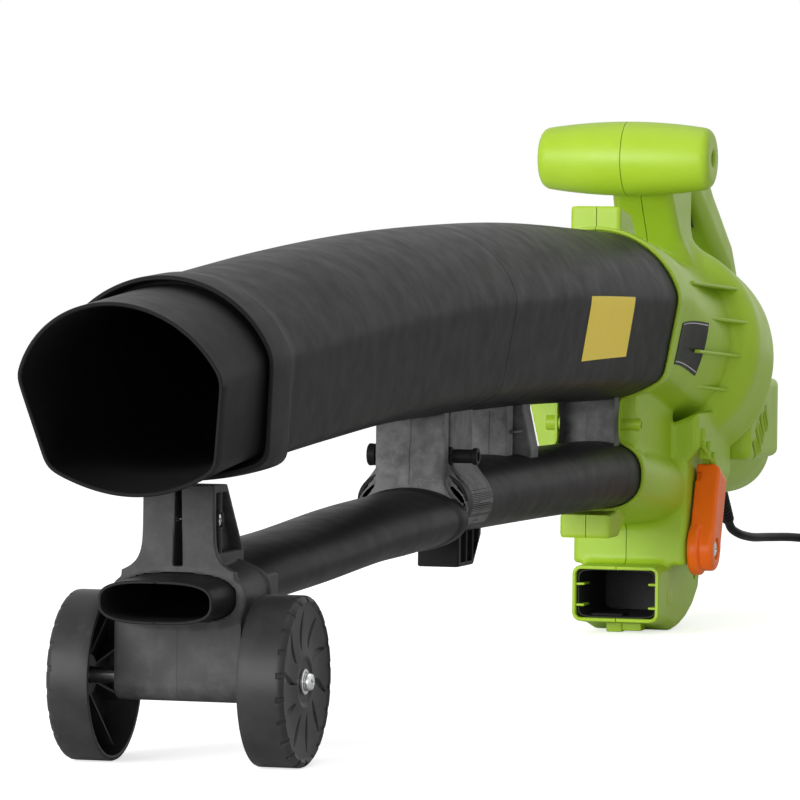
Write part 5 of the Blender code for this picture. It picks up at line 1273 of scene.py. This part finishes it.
def moulding_grain():
    """Moulded plastic's surface: a fine eroded grain, a slow unevenness of gloss and soft flow patches."""
    tree, given, out = group_start(
        "moulding_grain",
        (("Grain", "NodeSocketFloat", 1500.0), ("Flow", "NodeSocketFloat", 18.0),
         ("Patch", "NodeSocketFloat", 60.0)),
        (("Height", "NodeSocketFloat"), ("Flow", "NodeSocketFloat"), ("Patch", "NodeSocketFloat")))
    place = node(tree, "ShaderNodeTexCoord").outputs["Object"]
    grain = node(tree, "ShaderNodeTexNoise")
    flow = node(tree, "ShaderNodeTexNoise")
    patch = node(tree, "ShaderNodeTexNoise")
    for made, size, detail, rough in ((grain, "Grain", 3.0, 0.55), (flow, "Flow", 4.0, 0.5),
                                      (patch, "Patch", 6.0, 0.62)):
        tree.links.new(place, made.inputs["Vector"])
        tree.links.new(given.outputs[size], made.inputs["Scale"])
        made.inputs["Detail"].default_value = detail
        made.inputs["Roughness"].default_value = rough
    for made, label in ((grain, "Height"), (flow, "Flow"), (patch, "Patch")):
        tree.links.new(made.outputs["Fac"], out.inputs[label])
    return tree


def handling_marks():
    """Fine scuffs: stretched noise cut to thin lines."""
    tree, given, out = group_start(
        "handling_marks",
        (("Scuff Size", "NodeSocketFloat", 90.0),),
        (("Scuffs", "NodeSocketFloat"),))
    place = node(tree, "ShaderNodeTexCoord").outputs["Object"]
    stretch = node(tree, "ShaderNodeMapping")
    stretch.inputs["Rotation"].default_value = (0.3, 0.2, 0.6)
    stretch.inputs["Scale"].default_value = (1.0, 0.08, 1.0)
    tree.links.new(place, stretch.inputs["Vector"])
    lines = node(tree, "ShaderNodeTexNoise")
    tree.links.new(stretch.outputs[0], lines.inputs["Vector"])
    tree.links.new(given.outputs["Scuff Size"], lines.inputs["Scale"])
    lines.inputs["Detail"].default_value = 5.0
    where = node(tree, "ShaderNodeTexNoise")
    tree.links.new(place, where.inputs["Vector"])
    where.inputs["Scale"].default_value = 14.0
    thin = math_node(tree, "SUBTRACT", 1.0, math_node(tree, "MULTIPLY", math_node(tree, "ABSOLUTE", math_node(
        tree, "SUBTRACT", lines.outputs["Fac"], 0.5)), 40.0))
    patchy = math_node(tree, "MULTIPLY", math_node(tree, "SUBTRACT", where.outputs["Fac"], 0.55), 6.0)
    scuffs = node(tree, "ShaderNodeClamp")
    clipped = node(tree, "ShaderNodeClamp")
    tree.links.new(patchy, clipped.inputs[0])
    tree.links.new(math_node(tree, "MULTIPLY", thin, clipped.outputs[0]), scuffs.inputs[0])
    tree.links.new(scuffs.outputs[0], out.inputs["Scuffs"])
    return tree


GROUPS = {"grain": moulding_grain(), "marks": handling_marks()}


def mixed(tree, factor, first, second):
    """A colour between two, by a factor; each may be a colour or a socket."""
    made = node(tree, "ShaderNodeMix", data_type="RGBA")
    for socket, value in ((made.inputs[0], factor), (made.inputs[6], first), (made.inputs[7], second)):
        if isinstance(value, tuple):
            socket.default_value = (*value, 1.0)
        elif isinstance(value, float):
            socket.default_value = value
        else:
            tree.links.new(value, socket)
    return made.outputs[2]


def ramped(tree, value, low, high, first=0.0, second=1.0):
    """Maps a value's range onto another, clamped."""
    made = node(tree, "ShaderNodeMapRange")
    tree.links.new(value, made.inputs["Value"])
    for label, number in (("From Min", low), ("From Max", high), ("To Min", first), ("To Max", second)):
        made.inputs[label].default_value = number
    return made.outputs[0]


def new_material(name):
    """A new material with its node tree and its main shader."""
    made = bpy.data.materials.new(name)
    made.use_nodes = True
    return made, made.node_tree, made.node_tree.nodes["Principled BSDF"]


def grain_bump(tree, shader, texture, strength, distance):
    """The grain's height as a bump on the shader's normal."""
    lift = node(tree, "ShaderNodeBump")
    lift.inputs["Strength"].default_value = strength
    lift.inputs["Distance"].default_value = distance
    tree.links.new(texture.outputs["Height"], lift.inputs["Height"])
    tree.links.new(lift.outputs[0], shader.inputs["Normal"])


def moulded_plastic(name, colour, deep, pale, rough, grain, bump, scuff_colour, scuff, patch=0.5,
                    patch_size=60.0, flow_size=18.0, specular=0.3):
    """Plastic: its colour wanders between a deep and a pale tone with the flow, patches lighten it, scuffs
    sit on top, and the grain lifts its normal."""
    made, tree, shader = new_material(name)
    shader.inputs["Specular IOR Level"].default_value = specular
    texture = node(tree, "ShaderNodeGroup", node_tree=GROUPS["grain"])
    texture.inputs["Grain"].default_value = grain
    texture.inputs["Patch"].default_value = patch_size
    texture.inputs["Flow"].default_value = flow_size
    marks = node(tree, "ShaderNodeGroup", node_tree=GROUPS["marks"])
    base = mixed(tree, ramped(tree, texture.outputs["Flow"], 0.35, 0.65), deep, colour)
    base = mixed(tree, ramped(tree, texture.outputs["Patch"], 0.45, 0.75, 0.0, patch), base, pale)
    base = mixed(tree, math_node(tree, "MULTIPLY", marks.outputs["Scuffs"], scuff), base, scuff_colour)
    tree.links.new(base, shader.inputs["Base Color"])
    gloss = math_node(tree, "ADD", ramped(tree, texture.outputs["Patch"], 0.3, 0.7, rough - 0.05,
                                          rough + 0.06),
                      math_node(tree, "MULTIPLY", marks.outputs["Scuffs"], 0.2 * scuff))
    tree.links.new(gloss, shader.inputs["Roughness"])
    grain_bump(tree, shader, texture, bump, 0.0002)
    return made


def metal_finish(name, colour, pale, rough, grain):
    """Metal: a fine turned or plated grain in colour, gloss and height."""
    made, tree, shader = new_material(name)
    shader.inputs["Metallic"].default_value = 1.0
    texture = node(tree, "ShaderNodeGroup", node_tree=GROUPS["grain"])
    texture.inputs["Grain"].default_value = grain
    texture.inputs["Patch"].default_value = 220.0
    tree.links.new(mixed(tree, ramped(tree, texture.outputs["Patch"], 0.35, 0.7), colour, pale),
                   shader.inputs["Base Color"])
    tree.links.new(ramped(tree, texture.outputs["Flow"], 0.3, 0.7, rough - 0.08, rough + 0.10),
                   shader.inputs["Roughness"])
    grain_bump(tree, shader, texture, 0.15, 0.0001)
    return made


def finishes():
    green = moulded_plastic("lime_housing", (0.360, 0.545, 0.030), (0.325, 0.500, 0.022),
                            (0.385, 0.565, 0.045), 0.40, 1500.0,
                            0.16, (0.46, 0.62, 0.16), 0.15, patch=0.35, specular=0.30)
    satin = moulded_plastic("black_tube", (0.0125, 0.0125, 0.0130), (0.0112, 0.0112, 0.0116),
                            (0.0145, 0.0145, 0.0150), 0.44,
                            1300.0, 0.14, (0.030, 0.030, 0.030), 0.06, patch=0.35, specular=0.05)
    matte = moulded_plastic("grey_black_moulding", (0.120, 0.120, 0.122), (0.060, 0.060, 0.062),
                            (0.210, 0.210, 0.213), 0.56,
                            900.0, 0.55, (0.22, 0.22, 0.22), 0.5, patch=0.75, patch_size=95.0, flow_size=70.0,
                            specular=0.20)
    carrier = moulded_plastic("carrier_black", (0.046, 0.046, 0.048), (0.032, 0.032, 0.033),
                              (0.072, 0.072, 0.073), 0.50, 1500.0,
                              0.60, (0.11, 0.11, 0.11), 0.3, patch=0.6, patch_size=80.0, flow_size=40.0,
                              specular=0.12)
    wheel = moulded_plastic("wheel_black", (0.0260, 0.0260, 0.0270), (0.0200, 0.0200, 0.0205),
                            (0.038, 0.038, 0.039), 0.42,
                            1100.0, 0.20, (0.08, 0.08, 0.08), 0.3, patch=0.5, specular=0.14)
    orange = moulded_plastic("orange_lever", (0.950, 0.160, 0.004), (0.900, 0.135, 0.003),
                             (0.970, 0.200, 0.012), 0.38, 1500.0,
                             0.14, (0.95, 0.30, 0.06), 0.15, patch=0.3, specular=0.30)
    inner = moulded_plastic("inner_black", (0.022, 0.022, 0.022), (0.017, 0.017, 0.017),
                            (0.032, 0.032, 0.032), 0.55, 800.0, 0.3,
                            (0.06, 0.06, 0.06), 0.3, specular=0.20)
    rubber = moulded_plastic("cord_black", (0.0060, 0.0060, 0.0062), (0.0048, 0.0048, 0.0050),
                             (0.010, 0.010, 0.010), 0.42, 1600.0,
                             0.25, (0.02, 0.02, 0.02), 0.2, specular=0.05)
    yellow = moulded_plastic("label_yellow", (0.960, 0.730, 0.045), (0.930, 0.700, 0.040),
                             (0.980, 0.760, 0.065), 0.42, 2600.0,
                             0.05, (0.70, 0.55, 0.12), 0.2, patch=0.4, specular=0.25)
    badge = moulded_plastic("badge_black", (0.0040, 0.0040, 0.0042), (0.0035, 0.0035, 0.0035),
                            (0.006, 0.006, 0.006), 0.30, 2600.0,
                            0.04, (0.03, 0.03, 0.03), 0.25, specular=0.08)
    line = moulded_plastic("badge_silver", (0.55, 0.55, 0.55), (0.50, 0.50, 0.50), (0.62, 0.62, 0.62), 0.35,
                           2600.0, 0.04,
                           (0.40, 0.40, 0.40), 0.2)
    carbon = moulded_plastic("brush_carbon", (0.030, 0.030, 0.030), (0.022, 0.022, 0.022),
                             (0.045, 0.045, 0.045), 0.75, 900.0, 0.4,
                             (0.08, 0.08, 0.08), 0.3)
    return {
        "green_plastic": green, "black_plastic": satin, "orange_plastic": orange, "inner_plastic": inner,
        "black_rubber": rubber, "carbon": carbon, "matte": matte, "carrier": carrier, "wheel": wheel,
        "yellow": yellow, "badge": badge,
        "badge_line": line,
        "zinc_steel": metal_finish("zinc_plate", (0.60, 0.61, 0.62), (0.70, 0.71, 0.70), 0.26, 900.0),
        "bare_steel": metal_finish("ground_steel", (0.42, 0.42, 0.43), (0.52, 0.52, 0.53), 0.34, 1400.0),
        "laminated_steel": metal_finish("stator_steel", (0.23, 0.23, 0.25), (0.30, 0.30, 0.31), 0.45, 600.0),
        "copper": metal_finish("wound_copper", (0.72, 0.32, 0.14), (0.82, 0.42, 0.20), 0.34, 1200.0),
        "brass": metal_finish("pin_brass", (0.72, 0.53, 0.22), (0.80, 0.62, 0.30), 0.28, 1100.0),
    }


def dress_nodes(finish):
    """Each CAD node takes the finish of its own material slot."""
    for name, node_object in frame["nodes"].items():
        slots = node_object.data.materials
        wanted = slots[0].name.split(".")[0] if len(slots) and slots[0] else "inner_plastic"
        chosen = finish.get(wanted, finish["inner_plastic"])
        slots.clear()
        slots.append(chosen)


# Floor and light


def make_stage():
    floor = bpy.data.meshes.new("floor")
    floor.from_pydata([(-9.0, -6.0, 0.0), (9.0, -6.0, 0.0), (9.0, 12.0, 0.0), (-9.0, 12.0, 0.0)], [],
                      [(0, 1, 2, 3)])
    made = add_object("floor", floor)
    paint, tree, shader = new_material("pale_floor")
    shader.inputs["Base Color"].default_value = (0.86, 0.86, 0.86, 1.0)
    shader.inputs["Roughness"].default_value = 0.9
    shader.inputs["Specular IOR Level"].default_value = 0.1
    glow = node(tree, "ShaderNodeEmission")
    seen = node(tree, "ShaderNodeLightPath")
    add = node(tree, "ShaderNodeAddShader")
    level = math_node(tree, "MULTIPLY", seen.outputs["Is Camera Ray"], 0.66)
    tree.links.new(level, glow.inputs["Strength"])
    tree.links.new(shader.outputs[0], add.inputs[0])
    tree.links.new(glow.outputs[0], add.inputs[1])
    tree.links.new(add.outputs[0], tree.nodes["Material Output"].inputs["Surface"])
    floor.materials.append(paint)


def make_world():
    surround = bpy.data.worlds.new("white_tent")
    surround.use_nodes = True
    tree = surround.node_tree
    back = tree.nodes["Background"]
    back.inputs["Color"].default_value = (1.0, 1.0, 1.0, 1.0)
    path = node(tree, "ShaderNodeLightPath")
    seen = math_node(tree, "MAXIMUM", path.outputs["Is Camera Ray"], math_node(
        tree, "MAXIMUM", path.outputs["Is Glossy Ray"], path.outputs["Is Transmission Ray"]))
    level = math_node(tree, "ADD", 0.38, math_node(tree, "MULTIPLY", seen, 0.62))
    tree.links.new(level, back.inputs["Strength"])
    bpy.context.scene.world = surround


def make_lamps():
    """Soft boxes: a large one in front and to the left, a low one in front that reaches under the tube, and
    weak ones on the lever's side and over the tube."""
    for name, place, aim, size, power in (
            ("front_box", (-1.2, -3.0, 0.8), (0.0, 0.1, 0.15), 1.6, 92.0),
            ("low_box", (0.15, -3.2, 0.12), (0.0, 0.2, 0.10), 1.0, 46.0),
            ("side_box", (2.6, -0.6, 1.1), (0.0, 0.2, 0.15), 1.6, 3.0),
            ("top_box", (0.2, 0.4, 2.6), (0.0, 0.1, 0.10), 2.0, 12.0)):
        data = bpy.data.lights.new(name, "AREA")
        data.shape = "SQUARE"
        data.size = size
        data.energy = power
        lamp = add_object(name, data)
        lamp.location = place
        lamp.rotation_euler = (Vector(aim) - Vector(place)).to_track_quat("-Z", "Y").to_euler()


def main():
    make_camera()
    finish = finishes()
    dress_nodes(finish)
    make_cord(finish["black_rubber"])
    make_housing(finish["green_plastic"])
    make_gussets(finish["green_plastic"])
    make_flange(finish["green_plastic"])
    make_outlet(finish["green_plastic"], finish["inner_plastic"], finish["black_plastic"])
    make_hood_fins(finish["green_plastic"])
    make_label(finish["yellow"])
    make_badge(finish["badge"], finish["badge_line"])
    make_screws(finish["zinc_steel"])
    make_suction_tubes(finish["black_plastic"])
    make_blower_tubes(finish["black_plastic"])
    make_webs(finish["matte"], finish["black_plastic"])
    make_joint_pin(finish["black_plastic"])
    make_carrier(finish["carrier"])
    make_wheels(finish["wheel"], finish["zinc_steel"])
    make_lever(finish["orange_plastic"])
    make_stage()
    make_world()
    make_lamps()
    bpy.context.scene.view_settings.view_transform = "Standard"


main()
